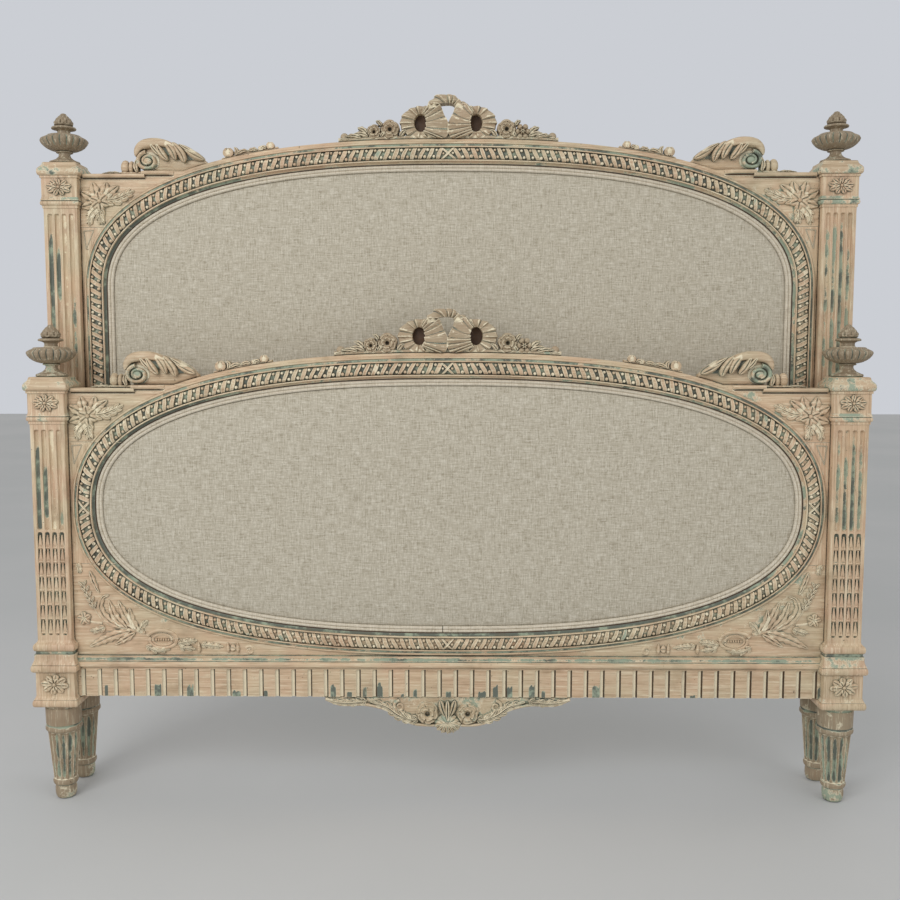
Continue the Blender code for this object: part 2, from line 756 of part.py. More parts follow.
def post_levels(cap_bottom):
    """Heights and half widths of a post, from the plinth to the underside of the cap."""
    s = SHAFT_HALF
    b = LOWER_BLOCK_HALF
    u = UPPER_BLOCK_HALF
    z = POST_BOTTOM
    levels = [(z, b + PLINTH_OUT * 0.7), (z + PLINTH_H * 0.2, b + PLINTH_OUT)]
    levels += [(z + PLINTH_H * 0.55, b + PLINTH_OUT), (z + PLINTH_H * 0.75, b + PLINTH_OUT * 0.4)]
    z += PLINTH_H
    levels += [(z, b + PLINTH_OUT * 0.1), (z, b)]
    z += LOWER_BLOCK_H
    levels += [(z, b), (z, b + BASE_OUT * 0.6), (z + BASE_H * 0.15, b + BASE_OUT)]
    levels += [(z + BASE_H * 0.40, b + BASE_OUT), (z + BASE_H * 0.60, b + BASE_OUT * 0.4)]
    z += BASE_H
    levels += [(z - BASE_H * 0.12, b + BASE_OUT * 0.08), (z, b + BASE_OUT * 0.08), (z, s + 0.0035)]
    z += BASE_FILLET_H
    levels += [(z, s + 0.0035), (z, s + TORUS_OUT * 0.7), (z + TORUS_H * 0.22, s + TORUS_OUT)]
    levels += [(z + TORUS_H * 0.55, s + TORUS_OUT), (z + TORUS_H * 0.75, s + TORUS_OUT * 0.45)]
    z += TORUS_H
    levels += [(z, s + 0.0012), (z, s)]
    top = cap_bottom - CLEAR - TOP_FILLET_H - UPPER_BLOCK_H - COLLAR_H - NECK_FILLET_H
    levels += [(top, s), (top, s + 0.0015), (top + NECK_FILLET_H, s + 0.0015)]
    collar = top + NECK_FILLET_H
    levels += [(collar, s + COLLAR_OUT * 0.6), (collar + COLLAR_H * 0.32, s + COLLAR_OUT)]
    levels += [(collar + COLLAR_H * 0.72, s + COLLAR_OUT), (collar + COLLAR_H, u + 0.0010)]
    block = collar + COLLAR_H
    levels += [(block, u), (block + UPPER_BLOCK_H, u), (block + UPPER_BLOCK_H, u + 0.0020)]
    levels.append((cap_bottom - CLEAR, u + 0.0020))
    return levels, z, top, block


def post(oval_z, tenons, notch_bottom, studs_front, apron_tenon):
    """The right post of a board, about its own axis, with mortises towards the board."""
    cap_bottom = oval_z + STEP_LOW + CAP_ABOVE_STEP
    levels, shaft_z0, shaft_z1, block_z = post_levels(cap_bottom)
    body = square_loft(levels)
    split = shaft_z0 + FLUTE_END + STOPPED_H
    flutes = []
    for k in range(FLUTES):
        x = (k - (FLUTES - 1) / 2) * FLUTE_PITCH
        half = FLUTE_WIDTH / 2
        flutes.append((x, split + FLUTE_BREAK, shaft_z1 - FLUTE_END, half, FLUTE_DEPTH))
        flutes.append((x, shaft_z0 + FLUTE_END, split, half, STOPPED_DEPTH))
    tools = []
    for x, z0, z1, half, depth in flutes:
        tools.append(groove(x, -SHAFT_HALF, z0, z1, half, depth))
        if depth == FLUTE_DEPTH:
            side = groove(x, -SHAFT_HALF, shaft_z0 + FLUTE_END, z1, half, depth)
            side.data.transform(Matrix.Rotation(math.pi / 2, 4, "Z"))
            tools.append(side)
    rose_levels = [(block_z + UPPER_BLOCK_H / 2, UPPER_BLOCK_HALF)]
    if not studs_front:
        rose_levels.append((POST_BOTTOM + PLINTH_H + LOWER_BLOCK_H / 2, LOWER_BLOCK_HALF))
    roses = [dome(0.0, -half, z, ROSETTE_R, ROSETTE_OUT, ROSETTE_R) for z, half in rose_levels]
    body = add(body, *roses)
    seat = SHAFT_HALF + SEAT_DEPTH
    deep = FRAME_Y + CLEAR
    notch_top = oval_z + STEP_LOW + CAP_ABOVE_STEP + 0.01
    tools.append(box(-0.09, -seat, -deep, deep, notch_bottom - CLEAR, notch_top))
    if apron_tenon:
        y0 = APRON_FRONT_Y - CLEAR
        y1 = APRON_FRONT_Y + APRON_T + CLEAR
        tools.append(box(-0.09, -seat - 0.0001, y0, y1, APRON_BOTTOM - CLEAR, RAIL_BOTTOM + 0.0007))
        y0 = -FRAME_Y - STRIP_OUT - CLEAR * 2
        tools.append(box(-0.09, -seat - 0.0001, y0, 0.0, RAIL_BOTTOM - CLEAR,
                         RAIL_BOTTOM + STRIP_H + CLEAR * 2))
    for z0, z1 in tenons:
        hole = rail_tenon(z0, z1, CLEAR)
        hole.data.transform(Matrix.Translation((-POST_X, 0.0, 0.0)))
        tools.append(hole)
    tools.append(rod(LEG_TENON_R + CLEAR, (0, 0, POST_BOTTOM - 0.01),
                     (0, 0, POST_BOTTOM + LEG_TENON_H + CLEAR), LEG_FLUTES * 2))
    dowel_end = cap_bottom + CAP_H - FINIAL_DOWEL_H
    tools.append(rod(FINIAL_DOWEL_R + CLEAR, (0, 0, dowel_end - CLEAR), (0, 0, cap_bottom + 0.01),
                     FINIAL_SIDES))
    side = -1 if studs_front else 1
    face = side * LOWER_BLOCK_HALF
    for dz in (-STUD_SPACING / 2, STUD_SPACING / 2):
        z = POST_BOTTOM + PLINTH_H + LOWER_BLOCK_H / 2 + dz
        tools.append(rod(STUD_R + CLEAR, (0, face - side * (STUD_L + CLEAR), z), (0, face + side * 0.01, z)))
    return cut(body, *tools)


def leg():
    """A turned and fluted leg with a round tenon on top."""
    ring = FOOT_H + LEG_RING_LOW_H
    neck = LEG_H - DRUM_H
    taper_top = neck - LEG_RING_TOP_H
    profile = [(FOOT_R * 0.77, 0.0), (FOOT_R, FOOT_H * 0.40)]
    profile += [(FOOT_R * 0.90, FOOT_H), (LEG_RING_LOW_R, FOOT_H + LEG_RING_LOW_H * 0.25)]
    profile += [(LEG_RING_LOW_R, FOOT_H + LEG_RING_LOW_H * 0.75), (TAPER_LOW_R * 0.9, ring)]
    first = len(profile)
    profile += [(TAPER_LOW_R, ring + 0.002), (TAPER_TOP_R, taper_top - 0.004)]
    profile += [(LEG_RING_TOP_R, taper_top + LEG_RING_TOP_H * 0.2)]
    profile += [(LEG_RING_TOP_R, taper_top + LEG_RING_TOP_H * 0.8), (DRUM_R * 0.93, neck)]
    profile += [(DRUM_R, neck + 0.002), (DRUM_R, LEG_H), (LEG_TENON_R, LEG_H)]
    profile.append((LEG_TENON_R, LEG_H + LEG_TENON_H))
    sides = LEG_FLUTES * 2

    def dent(k, i):
        return LEG_FLUTE_DEPTH if k in (first, first + 1) and i % 2 else 0.0

    return turned(profile, sides, dent)


def cap():
    """The moulded cap of a post, with the finial's hole."""
    h = CAP_H
    levels = [(0.0, CAP_HALF * 0.965), (h * 0.08, CAP_HALF), (h * 0.50, CAP_HALF)]
    levels += [(h * 0.62, CAP_HALF * 0.945), (h * 0.85, CAP_HALF * 0.880), (h, CAP_HALF * 0.860)]
    hole = rod(FINIAL_DOWEL_R + CLEAR, (0, 0, -0.01), (0, 0, h + 0.01), FINIAL_SIDES)
    return cut(square_loft(levels), hole)


def finial():
    """An urn finial with a flame bud, standing on its dowel."""
    z = FINIAL_DISC_H
    profile = [(FINIAL_DOWEL_R, -FINIAL_DOWEL_H), (FINIAL_DOWEL_R, 0.0), (FINIAL_DISC_R, 0.0)]
    profile += [(FINIAL_DISC_R * 0.97, z), (SPOOL_R, z + SPOOL_H * 0.5)]
    z += SPOOL_H
    first = len(profile)
    profile += [(BOWL_R * 0.40, z + BOWL_H * 0.04), (BOWL_R * 0.82, z + BOWL_H * 0.32)]
    profile += [(BOWL_R, z + BOWL_H * 0.70), (BOWL_R * 0.74, z + BOWL_H * 0.96)]
    z += BOWL_H
    profile += [(NECK_R, z + NECK_H * 0.30), (NECK_R, z + NECK_H)]
    z += NECK_H
    profile += [(FLANGE_R, z + FLANGE_H * 0.5), (BUD_R * 0.85, z + FLANGE_H)]
    z += FLANGE_H
    profile += [(BUD_R, z + BUD_H * 0.3), (BUD_R * 0.68, z + BUD_H * 0.75)]
    profile.append((BUD_R * 0.10, z + BUD_H))

    def dent(k, i):
        return GADROON_DEPTH if first < k < first + 4 and i % 2 else 0.0

    return turned(profile, FINIAL_SIDES, dent)


def crest():
    """A ribbon bow with roses and leaves, over the middle of the top rail."""
    under = edge_points(0.0, CREST_HALF, CLEAR)
    over = [(x, z + CREST_BAND) for x, z in under]
    half = list(under)
    lower = half + [(-x, z) for x, z in reversed(half[1:])]
    upper = over + [(-x, z) for x, z in reversed(over[1:])]
    right_first = sorted(lower, key=lambda p: p[0])
    left_first = sorted(upper, key=lambda p: -p[0])
    body = prism(right_first + left_first, CARVING_FRONT_Y, CARVING_BACK_Y)
    top = OVAL_B + TOP_EDGE
    y0 = CARVING_FRONT_Y
    y1 = CARVING_BACK_Y
    lumps = []
    holes = []
    for side in (-1, 1):
        turns = [math.pi * (i + 0.5) / 6 for i in range(12)]
        floor = top + CLEAR + CARVING_LIP
        rim = [(side * BOW_X + BOW_A * math.cos(a), max(top + BOW_Z + BOW_B * math.sin(a), floor))
               for a in turns]
        lumps.append(prism(rim, y0 - 0.004, y1 - 0.003))
        holes.append(rod(BOW_HOLE_R, (side * BOW_X, y0 - 0.03, top + BOW_Z),
                         (side * BOW_X, y1 + 0.03, top + BOW_Z), 10))
        end = (side * BOW_X * 0.75, CARVING_MID_Y - 0.003, top + BOW_Z + BOW_B * 0.75)
        start = (side * 0.004, CARVING_MID_Y - 0.003, top + KNOT_Z - 0.0037)
        lumps.append(rod(KNOT_R * 0.85, start, end, 6))
        lumps.append(bud(side, ROSE_X, ROSE_R, ROSE_R * 0.85, CARVING_T * 0.62, 8))
        x = ROSE_X + LEAF_PITCH
        r = LEAF_R
        while x + r < CREST_HALF:
            lumps.append(bud(side, x, r * 1.15, r * 0.85, CARVING_T * 0.52, 6))
            x += LEAF_PITCH - LEAF_SHRINK * 2
            r -= LEAF_SHRINK
        z = rail_edge(CREST_DOWEL_X)
        lumps.append(rod(DOWEL_R, (side * CREST_DOWEL_X, CARVING_MID_Y, z - DOWEL_H),
                         (side * CREST_DOWEL_X, CARVING_MID_Y, z + CREST_BAND * 0.6)))
    lumps.append(dome(0.0, CARVING_MID_Y - 0.003, top + KNOT_Z, KNOT_HALF, CARVING_T * 0.48, KNOT_R))
    return cut(add(body, *lumps), *holes)


def bud(side, x, rx, rz, ry, sides):
    """A carved lump standing on the rail's upper edge."""
    z = rail_edge(x - rx) + CLEAR + CARVING_LIP + rz
    return dome(side * x, CARVING_MID_Y - 0.001, z, rx, ry, rz, sides, 4)


def scroll():
    """The right shoulder scroll: a volute with a long leaf and a bud outside it."""
    under = edge_points(SCROLL_IN_X, SCROLL_OUT_X, CLEAR)
    peak = STEP_HIGH + SCROLL_RISE
    run = VOLUTE_X - SCROLL_IN_X
    ball = SCROLL_OUT_X - STEP_INNER_X
    over = [(STEP_INNER_X + ball * u, STEP_LOW + SCROLL_RISE * v)
            for u, v in ((1.0, 0.14), (0.90, 0.31), (0.62, 0.37), (0.36, 0.33))]
    wide = VOLUTE_R * 1.12
    over += [(VOLUTE_X + wide * math.cos(a), STEP_HIGH + VOLUTE_R * 0.85 + wide * math.sin(a))
             for a in (0.10, 0.60, 1.10)]
    leaf = ((0.90, 0.93), (0.83, 0.985), (0.72, 0.95), (0.58, 0.82), (0.42, 0.66), (0.25, 0.50))
    over += [(SCROLL_IN_X + run * u, STEP_HIGH + (peak - STEP_HIGH) * v) for u, v in leaf]
    over.append((SCROLL_IN_X, rail_edge(SCROLL_IN_X) + SCROLL_RISE * 0.08))
    body = prism(under + over, CARVING_FRONT_Y, CARVING_BACK_Y)
    eye = dome(VOLUTE_X, CARVING_FRONT_Y, STEP_HIGH + VOLUTE_R * 0.95, VOLUTE_R * 0.8, 0.006,
               VOLUTE_R * 0.8)
    body = add(body, eye)
    rib = dome(SCROLL_IN_X + run * 0.66, CARVING_FRONT_Y, STEP_HIGH + SCROLL_RISE * 0.55,
               run * 0.28, 0.005, SCROLL_RISE * 0.22)
    body = add(body, rib)
    pin = rod(DOWEL_R, (SCROLL_DOWEL_X, CARVING_MID_Y, STEP_HIGH - DOWEL_H),
              (SCROLL_DOWEL_X, CARVING_MID_Y, STEP_HIGH + 0.008))
    return add(body, pin)


def spray():
    """A pair of buds on a leafy stem, between the crest and the right scroll."""
    under = edge_points(SPRAY_IN_X, SPRAY_OUT_X, CLEAR)
    over = [(x, z + SPRAY_BAND) for x, z in reversed(under)]
    body = prism(under + over, CARVING_FRONT_Y + 0.002, CARVING_BACK_Y - 0.002)
    outer = SPRAY_OUT_X - SPRAY_BUD_R * 1.4
    inner = SPRAY_IN_X + SPRAY_BUD_R * 1.3
    small = SPRAY_BUD_R * 0.8
    z = rail_edge(SPRAY_PIN_X)
    pin = rod(DOWEL_R, (SPRAY_PIN_X, CARVING_MID_Y, z - DOWEL_H),
              (SPRAY_PIN_X, CARVING_MID_Y, z + SPRAY_BAND * 0.6))
    return add(body, bud(1, outer, SPRAY_BUD_R, SPRAY_BUD_R, CARVING_T * 0.46, 8),
               bud(1, inner, small, small, CARVING_T * 0.46, 8), pin)


def apron():
    """The fluted apron rail, with tenons at its ends and a groove for the pendant."""
    z0 = APRON_BOTTOM
    z1 = APRON_BOTTOM + APRON_H
    y0 = APRON_FRONT_Y
    y1 = APRON_FRONT_Y + APRON_T
    body = box(-BOARD_X, BOARD_X, y0, y1, z0, z1)
    half = APRON_FLUTE_W / 2
    pitch = 2 * BOARD_X / APRON_FLUTES
    verts = []
    faces = []
    for k in range(APRON_FLUTES):
        x = (k - (APRON_FLUTES - 1) / 2) * pitch
        arch = [(x - half, z0 - 0.01), (x + half, z0 - 0.01)]
        arch += [(x + half * math.cos(a), z1 - APRON_FLUTE_TOP - half + half * math.sin(a))
                 for a in [math.pi * i / 2 for i in range(3)]]
        start = len(verts)
        n = len(arch)
        verts += [(px, y0 - 0.01, pz) for px, pz in arch]
        verts += [(x + (px - x) * 0.55, y0 + half * 0.8, pz - (half * 0.4 if pz > z0 else 0.0))
                  for px, pz in arch]
        faces.append(tuple(range(start, start + n)))
        faces.append(tuple(range(start + 2 * n - 1, start + n - 1, -1)))
        faces += [(start + i, start + (i + 1) % n, start + n + (i + 1) % n, start + n + i)
                  for i in range(n)]
    body = cut(body, mesh_object("flutes", verts, faces))
    t0, t1 = apron_tenon_z()
    for side in (-1, 1):
        tongue = rail_tenon(t0, t1, 0.0)
        body = add(body, flip(tongue) if side < 0 else tongue)
    mid = pendant_mid_y()
    slot = box(-TONGUE_HALF - CLEAR, TONGUE_HALF + CLEAR, mid - TONGUE_T / 2 - CLEAR,
               mid + TONGUE_T / 2 + CLEAR, z0 - 0.01, z0 + TONGUE_H + CLEAR)
    return cut(body, slot)


def apron_tenon_z():
    return APRON_BOTTOM + TENON_SHOULDER, APRON_BOTTOM + APRON_H - TENON_SHOULDER


def pendant_mid_y():
    return APRON_FRONT_Y + APRON_T / 2


def pendant():
    """The carved pendant under the apron: leaf arms, two roses and a shell."""
    top = APRON_BOTTOM - CLEAR
    shape = [(1.0, 0.06), (0.93, 0.15), (0.78, 0.20), (0.62, 0.30), (0.48, 0.48), (0.38, 0.68),
             (0.28, 0.78), (0.17, 0.80), (0.09, 0.93), (0.0, 1.0)]
    right = [(PENDANT_HALF * u, top - PENDANT_DROP * v) for u, v in shape]
    left = [(-x, z) for x, z in reversed(right[:-1])]
    y0 = pendant_mid_y() - PENDANT_T / 2
    body = prism([(-PENDANT_HALF, top), (PENDANT_HALF, top)] + right + left, y0, y0 + PENDANT_T)
    for side in (-1, 1):
        rose = dome(side * PENDANT_ROSE_X, y0, top - PENDANT_DROP * 0.47, PENDANT_ROSE_R, 0.008,
                    PENDANT_ROSE_R)
        body = add(body, rose)
    shell = dome(0.0, y0, top - PENDANT_DROP * 0.72, PENDANT_ROSE_R * 0.7, 0.010, PENDANT_DROP * 0.22)
    body = add(body, shell)
    mid = pendant_mid_y()
    return add(body, box(-TONGUE_HALF, TONGUE_HALF, mid - TONGUE_T / 2, mid + TONGUE_T / 2,
                         top - 0.004, APRON_BOTTOM + TONGUE_H))


def pad(path, middle):
    """The upholstered pad: a crowned face, with sides drawn in towards its back."""
    shares = (0.0, 0.35, 0.65, 0.86, 0.965, 1.0)
    back = FRAME_Y - BACK_REBATE
    edge = offset(path, -CLEAR)
    n = len(edge)
    verts = [(0.0, PAD_EDGE_Y - PAD_CROWN, middle)]
    for u in shares[1:]:
        y = PAD_EDGE_Y - PAD_CROWN * (1 - u ** 4)
        verts += [(x * u, y, middle + (z - middle) * u) for x, z in edge]
    draw = offset(path, -CLEAR - 0.0025)
    verts += [(x, back, z) for x, z in draw]
    faces = [(0, 1 + i, 1 + (i + 1) % n) for i in range(n)]
    for k in range(len(shares) - 1):
        a = 1 + k * n
        b = a + n
        faces += [(a + i, b + i, b + (i + 1) % n, a + (i + 1) % n) for i in range(n)]
    last = 1 + (len(shares) - 1) * n
    faces.append(tuple(range(last, last + n)))
    return mesh_object("pad", verts, faces)


def welt(path):
    """The double welt that covers the edge of the linen."""
    w0 = CLEAR
    w1 = WELT_W - CLEAR
    mid = WELT_W / 2
    floor = REBATE_Y - CLEAR
    cord = (w1 - w0) / 2
    side = (floor + WELT_TOP_Y) / 2
    profile = [(w0, floor), (w0, side), (w0 + cord * 0.5, WELT_TOP_Y), (mid, WELT_VALLEY_Y)]
    profile += [(w1 - cord * 0.5, WELT_TOP_Y), (w1, side), (w1, floor)]
    return swept_ring(path, profile)


def back_panel(path):
    """The thin linen-covered panel that closes the back, set in the rear rebate."""
    y0 = FRAME_Y - BACK_REBATE + CLEAR
    return prism(offset(path, PANEL_LAP), y0, y0 + PANEL_T)


def rail_plate(front):
    """An iron plate for a side rail, with two studs into the post."""
    side = -1 if front else 1
    face = side * (LOWER_BLOCK_HALF + CLEAR)
    ys = sorted((face, face + side * PLATE_T))
    z = POST_BOTTOM + PLINTH_H + LOWER_BLOCK_H / 2
    body = box(-PLATE_W / 2, PLATE_W / 2, ys[0], ys[1], z - PLATE_H / 2, z + PLATE_H / 2)
    for dz in (-STUD_SPACING / 2, STUD_SPACING / 2):
        body = add(body, rod(STUD_R, (0, face + side * PLATE_T * 0.5, z + dz),
                             (0, face - side * (STUD_L - CLEAR), z + dz)))
    return body


def place(obj, name, parent, location, mat):
    """Name a finished piece, give it its place under its board, and its own material."""
    obj.name = name
    obj.data.name = name
    obj.parent = parent
    obj.location = location
    obj.data.materials.clear()
    obj.data.materials.append(material(name, *mat))
    obj.data.shade_smooth()
    obj.data.set_sharp_from_angle(angle=math.radians(32))
    return obj


def both_sides(maker, prefix, kind, parent, mat, x=0.0, z=0.0):
    """A right piece and its mirror image on the left."""
    right = maker
    left = flip(clone(right, "left"))
    place(right, prefix + kind + "_right", parent, (x, 0.0, z), mat)
    place(left, prefix + kind + "_left", parent, (-x, 0.0, z), mat)


def build_board(prefix, y, oval_z, is_foot):
    """All the pieces of one board, under an empty on its post plane."""
    wood = (PAINT, 0.62, 0.0)
    carved = (PAINT_PALE, 0.66, 0.0)
    cloth = (LINEN, 0.92, 0.0)
    parent = bpy.data.objects.new(prefix + "board", None)
    bpy.context.scene.collection.objects.link(parent)
    parent.location = (0.0, y, 0.0)
    path = oval_path() if is_foot else arch_path()
    bottom = RAIL_BOTTOM if is_foot else APRON_BOTTOM
    lower_joint = oval_z - LOWER_JOINT if is_foot else HEAD_JOINT_Z
    under_cap = STEP_LOW + CAP_ABOVE_STEP
    low_end = HEAD_OPENING_Z - RING_W if not is_foot else lower_joint
    tenons = {
        "top": (UPPER_JOINT + TENON_SHOULDER + TENON_L, under_cap - TENON_SHOULDER),
        "low": (bottom - oval_z + STRIP_H + TENON_SHOULDER, low_end - oval_z - TENON_L - TENON_SHOULDER),
    }
    blank = frame_blank(path, board_outline(oval_z, bottom))
    foliage = bottom + STRIP_H - oval_z if is_foot else None
    pieces = frame_pieces(blank, oval_z, lower_joint, tenons, foliage)
    for kind, obj in pieces.items():
        place(obj, prefix + kind, parent, (0.0, 0.0, oval_z), wood)
    mortises = [(z0 + oval_z, z1 + oval_z) for z0, z1 in tenons.values()]
    if is_foot:
        mortises.append(apron_tenon_z())
    upright = post(oval_z, mortises, bottom, not is_foot, is_foot)
    both_sides(upright, prefix, "post", parent, wood, POST_X)
    both_sides(leg(), prefix, "leg", parent, wood, POST_X)
    cap_z = oval_z + under_cap
    both_sides(cap(), prefix, "cap", parent, wood, POST_X, cap_z)
    both_sides(finial(), prefix, "finial", parent, carved, POST_X, cap_z + CAP_H + CLEAR)
    place(crest(), prefix + "crest", parent, (0.0, 0.0, oval_z), carved)
    both_sides(scroll(), prefix, "scroll", parent, carved, 0.0, oval_z)
    both_sides(spray(), prefix, "spray", parent, carved, 0.0, oval_z)
    if is_foot:
        place(apron(), prefix + "apron_rail", parent, (0.0, 0.0, 0.0), wood)
        place(pendant(), prefix + "apron_pendant", parent, (0.0, 0.0, 0.0), carved)
        place(strip(), prefix + "base_moulding", parent, (0.0, 0.0, bottom + CLEAR), wood)
    both_sides(cornice(), prefix, "cornice", parent, wood, 0.0, oval_z)
    heights = [z for x, z, a, b in path]
    middle = (max(heights) + min(heights)) / 2
    place(pad(path, middle), prefix + "pad", parent, (0.0, 0.0, oval_z), cloth)
    place(welt(path), prefix + "welt", parent, (0.0, 0.0, oval_z), (WELT_LINEN, 0.9, 0.0))
    place(back_panel(path), prefix + "back_panel", parent, (0.0, 0.0, oval_z), cloth)
    both_sides(rail_plate(not is_foot), prefix, "rail_plate", parent, (IRON, 0.5, 0.8), POST_X)


def main():
    for obj in list(bpy.data.objects):
        bpy.data.objects.remove(obj, do_unlink=True)
    build_board("foot_", -BOARD_SPACING / 2, FOOT_OVAL_Z, True)
    build_board("head_", BOARD_SPACING / 2, HEAD_OVAL_Z, False)


main()
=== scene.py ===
"""Looks of a carved and painted bedstead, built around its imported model."""

import math

import bmesh
import bpy
import numpy as np
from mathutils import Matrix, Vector


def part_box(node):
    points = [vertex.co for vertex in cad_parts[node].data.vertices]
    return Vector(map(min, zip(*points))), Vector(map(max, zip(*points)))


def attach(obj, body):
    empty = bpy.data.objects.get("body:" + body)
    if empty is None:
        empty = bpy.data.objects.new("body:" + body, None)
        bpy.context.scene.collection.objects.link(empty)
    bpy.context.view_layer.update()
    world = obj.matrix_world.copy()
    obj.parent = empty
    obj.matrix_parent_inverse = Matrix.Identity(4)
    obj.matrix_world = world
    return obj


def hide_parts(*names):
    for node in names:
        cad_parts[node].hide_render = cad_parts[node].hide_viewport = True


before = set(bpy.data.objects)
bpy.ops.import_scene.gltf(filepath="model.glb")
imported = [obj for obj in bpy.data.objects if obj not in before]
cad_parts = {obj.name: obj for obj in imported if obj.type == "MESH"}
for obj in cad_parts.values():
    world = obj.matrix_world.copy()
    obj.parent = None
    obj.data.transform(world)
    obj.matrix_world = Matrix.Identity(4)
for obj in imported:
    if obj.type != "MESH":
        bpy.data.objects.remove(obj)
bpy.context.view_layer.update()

MM = 0.001

# A distance in metres that lies past every edge
FAR_OFF = 9.0

# Camera of the photograph
LENS = 41.34
CAMERA_AT = (0.030, -2.153, 0.928)
CAMERA_DOWN = math.radians(5.28)
CAMERA_TURN = math.radians(0.69)

# Section of the oval frame, outwards from the edge of the linen, in millimetres
OVAL_POWER = 2.45
CLEAR = 0.3
WELT_W = 13.5
RING_W = 60.5
RIBBON_MID = 35.0
RIBBON_HALF = 12.0
TOP_EDGE = 66.0
FACE_Y = -18.0
BED_Y = -21.2
ROD_RISE = 4.6
SEAT_Y = -11.0
REBATE_W = 25.3
REBATE_DEEP = 8.0
EDGE_ROUND = 1.4
JOINT_GAP = 0.35

# Points along the edge of the linen, millimetres between a frame's sections, and which points a pad uses
PATH_POINTS = 6000
STATION_GAP = 8.0
PAD_STEP = 24

# Twisted ribbon with pearls
PITCH = 18.0
BAND_HALF = 4.3
BAND_SLANT = 0.48
BAND_RISE = 3.4
PEARL_R = 3.3
CROSS_SLANT = 1.15

# Top edge of a board's corner, above the middle of the oval, in metres
STEP_LOW = 0.2425
STEP_HIGH = 0.2485
STEP_INNER_X = 0.6380
UPPER_JOINT = 0.1330
LOWER_JOINT = 0.1175

# Posts, in metres
SHAFT_HALF = 0.0350
FLUTES = 4
FLUTE_PITCH = 0.0148
FLUTE_HALF = 0.0050
FLUTE_DEPTH = 0.0052
FLUTE_END = 0.0110
STOPPED_H = 0.2140
BLOCK_HALF = 0.0400
HEAD_BLOCK_HALF = 0.0375
HUSKS = 7
CORNER_R = 0.0013

# Apron
APRON_FLUTES = 46
APRON_FLUTE_HALF = 0.0046
APRON_FLUTE_DEPTH = 0.0040
APRON_FLUTE_TOP = 0.0045


def srgb(r, g, b):
    """A colour given as on a screen, turned into light."""
    out = []
    for c in (r, g, b):
        c /= 255
        out.append(c / 12.92 if c <= 0.04045 else ((c + 0.055) / 1.055) ** 2.4)
    return (*out, 1.0)


# Colours of paint, wood, cloth and iron
PEACH = srgb(208, 181, 149)
PINK = srgb(201, 167, 139)
BEIGE = srgb(200, 184, 153)
CREAM = srgb(236, 225, 196)
VERDIGRIS = srgb(150, 164, 143)
SLATE = srgb(82, 93, 86)
# The dirt brown also serves as painted shade in hollows and creases
DIRT_AND_SHADE = srgb(62, 50, 35)
# The grey dust also serves as painted shade on the legs
GREY_DUST_AND_SHADE = srgb(138, 124, 103)
GRAIN = srgb(160, 129, 99)
SCRATCH = srgb(148, 122, 94)
STAIN = srgb(120, 98, 72)
# The two wood browns also serve as painted shade in creases, quirks, grooves and holes
BARE_WOOD_AND_SHADE = srgb(92, 64, 40)
DARK_WOOD_AND_SHADE = srgb(48, 33, 21)
LINEN = (srgb(216, 210, 195), srgb(190, 182, 164), srgb(150, 141, 122))
# The welt's linen is the pad's linen made lighter: a painted highlight against the shade of the cove
LIT_WELT_LINEN = (srgb(228, 220, 203), srgb(213, 203, 184), srgb(176, 166, 144))
IRON_GREY = srgb(62, 58, 54)
RUST = srgb(96, 66, 46)


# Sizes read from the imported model
def middle(node):
    low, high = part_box(node)
    return (low + high) / 2


BODY = {"foot": "footboard", "head": "headboard"}
POST_X = abs(middle("foot_leg_left").x)
PLANE_Y = {board: middle(board + "_leg_left").y for board in BODY}
PAD_LOW, PAD_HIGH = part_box("foot_pad")
OVAL_A = PAD_HIGH.x + CLEAR * MM
OVAL_B = (PAD_HIGH.z - PAD_LOW.z) / 2 + CLEAR * MM
OVAL_Z = {"foot": (PAD_HIGH.z + PAD_LOW.z) / 2, "head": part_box("head_pad")[1].z + CLEAR * MM - OVAL_B}
BOARD_X = POST_X - SHAFT_HALF - 0.0005
BOARD_BOTTOM = {board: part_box(board + "_bottom_rail")[0].z for board in BODY}
POST_LOW = {board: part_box(board + "_post_left")[0].z for board in BODY}
HEAD_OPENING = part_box("head_pad")[0].z - CLEAR * MM
HEAD_CORNER_R = 0.060
HEAD_JOINT_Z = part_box("head_stile_left")[0].z + 0.0233
CAP_LOW = {board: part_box(board + "_cap_left")[0].z for board in BODY}
CAP_HIGH = {board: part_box(board + "_cap_left")[1].z for board in BODY}
CAP_HALF = (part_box("foot_cap_left")[1].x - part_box("foot_cap_left")[0].x) / 2

# Coat of dark brown: bare wood, and painted shade in creases, quirks, grooves and holes
WOOD_AND_SHADE_COAT = 2.0

# The right side has kept more of the old green
RIGHT_AGE = {"post": 0.10, "leg": 0.06, "cap": 0.09, "finial": 0.0,
             "scroll": 0.18, "spray": 0.10, "cornice": 0.10}
RIGHT_RING_AGE = 0.16

# Streak of each flute of a post: strength of its coat, how far below the head it lies, and half its length
LEFT_WEAR = ((0.35, 0.24, 0.10), (-0.90, 0.13, 0.13), (0.90, 0.13, 0.06), (1.0, 0.13, 0.13))
RIGHT_WEAR = ((0.14, 0.20, 0.60), (0.24, 0.15, 0.60), (0.34, 0.20, 0.60), (0.20, 0.12, 0.60))

# The ring has lost green beside the linen at the top and right, and under the ribbon at the bottom and right
RING_LOSS = 0.42
HOLLOW = (15.0, 19.7)

# Old green left in the hollows and along the outline of a leaf, with a painted shade there, bare gesso with a
# painted highlight on its ridges, and paint on the back of a carving
LEAF_HOLLOW = 0.90
LEAF_RIDGE = 0.60
BACK_COAT = 0.10

# How near the walls of a hollow are, and how thin an edge is, where dirt stays with a painted shade, and
# where paint wears off and a painted highlight goes
HOLLOW_REACH = 0.006
EDGE_REACH = 0.0018

# How far a leaf on a flat board, and one on the crest, goes back behind its plane
LEAF_SINK = 0.0006
CREST_SINK = 0.012


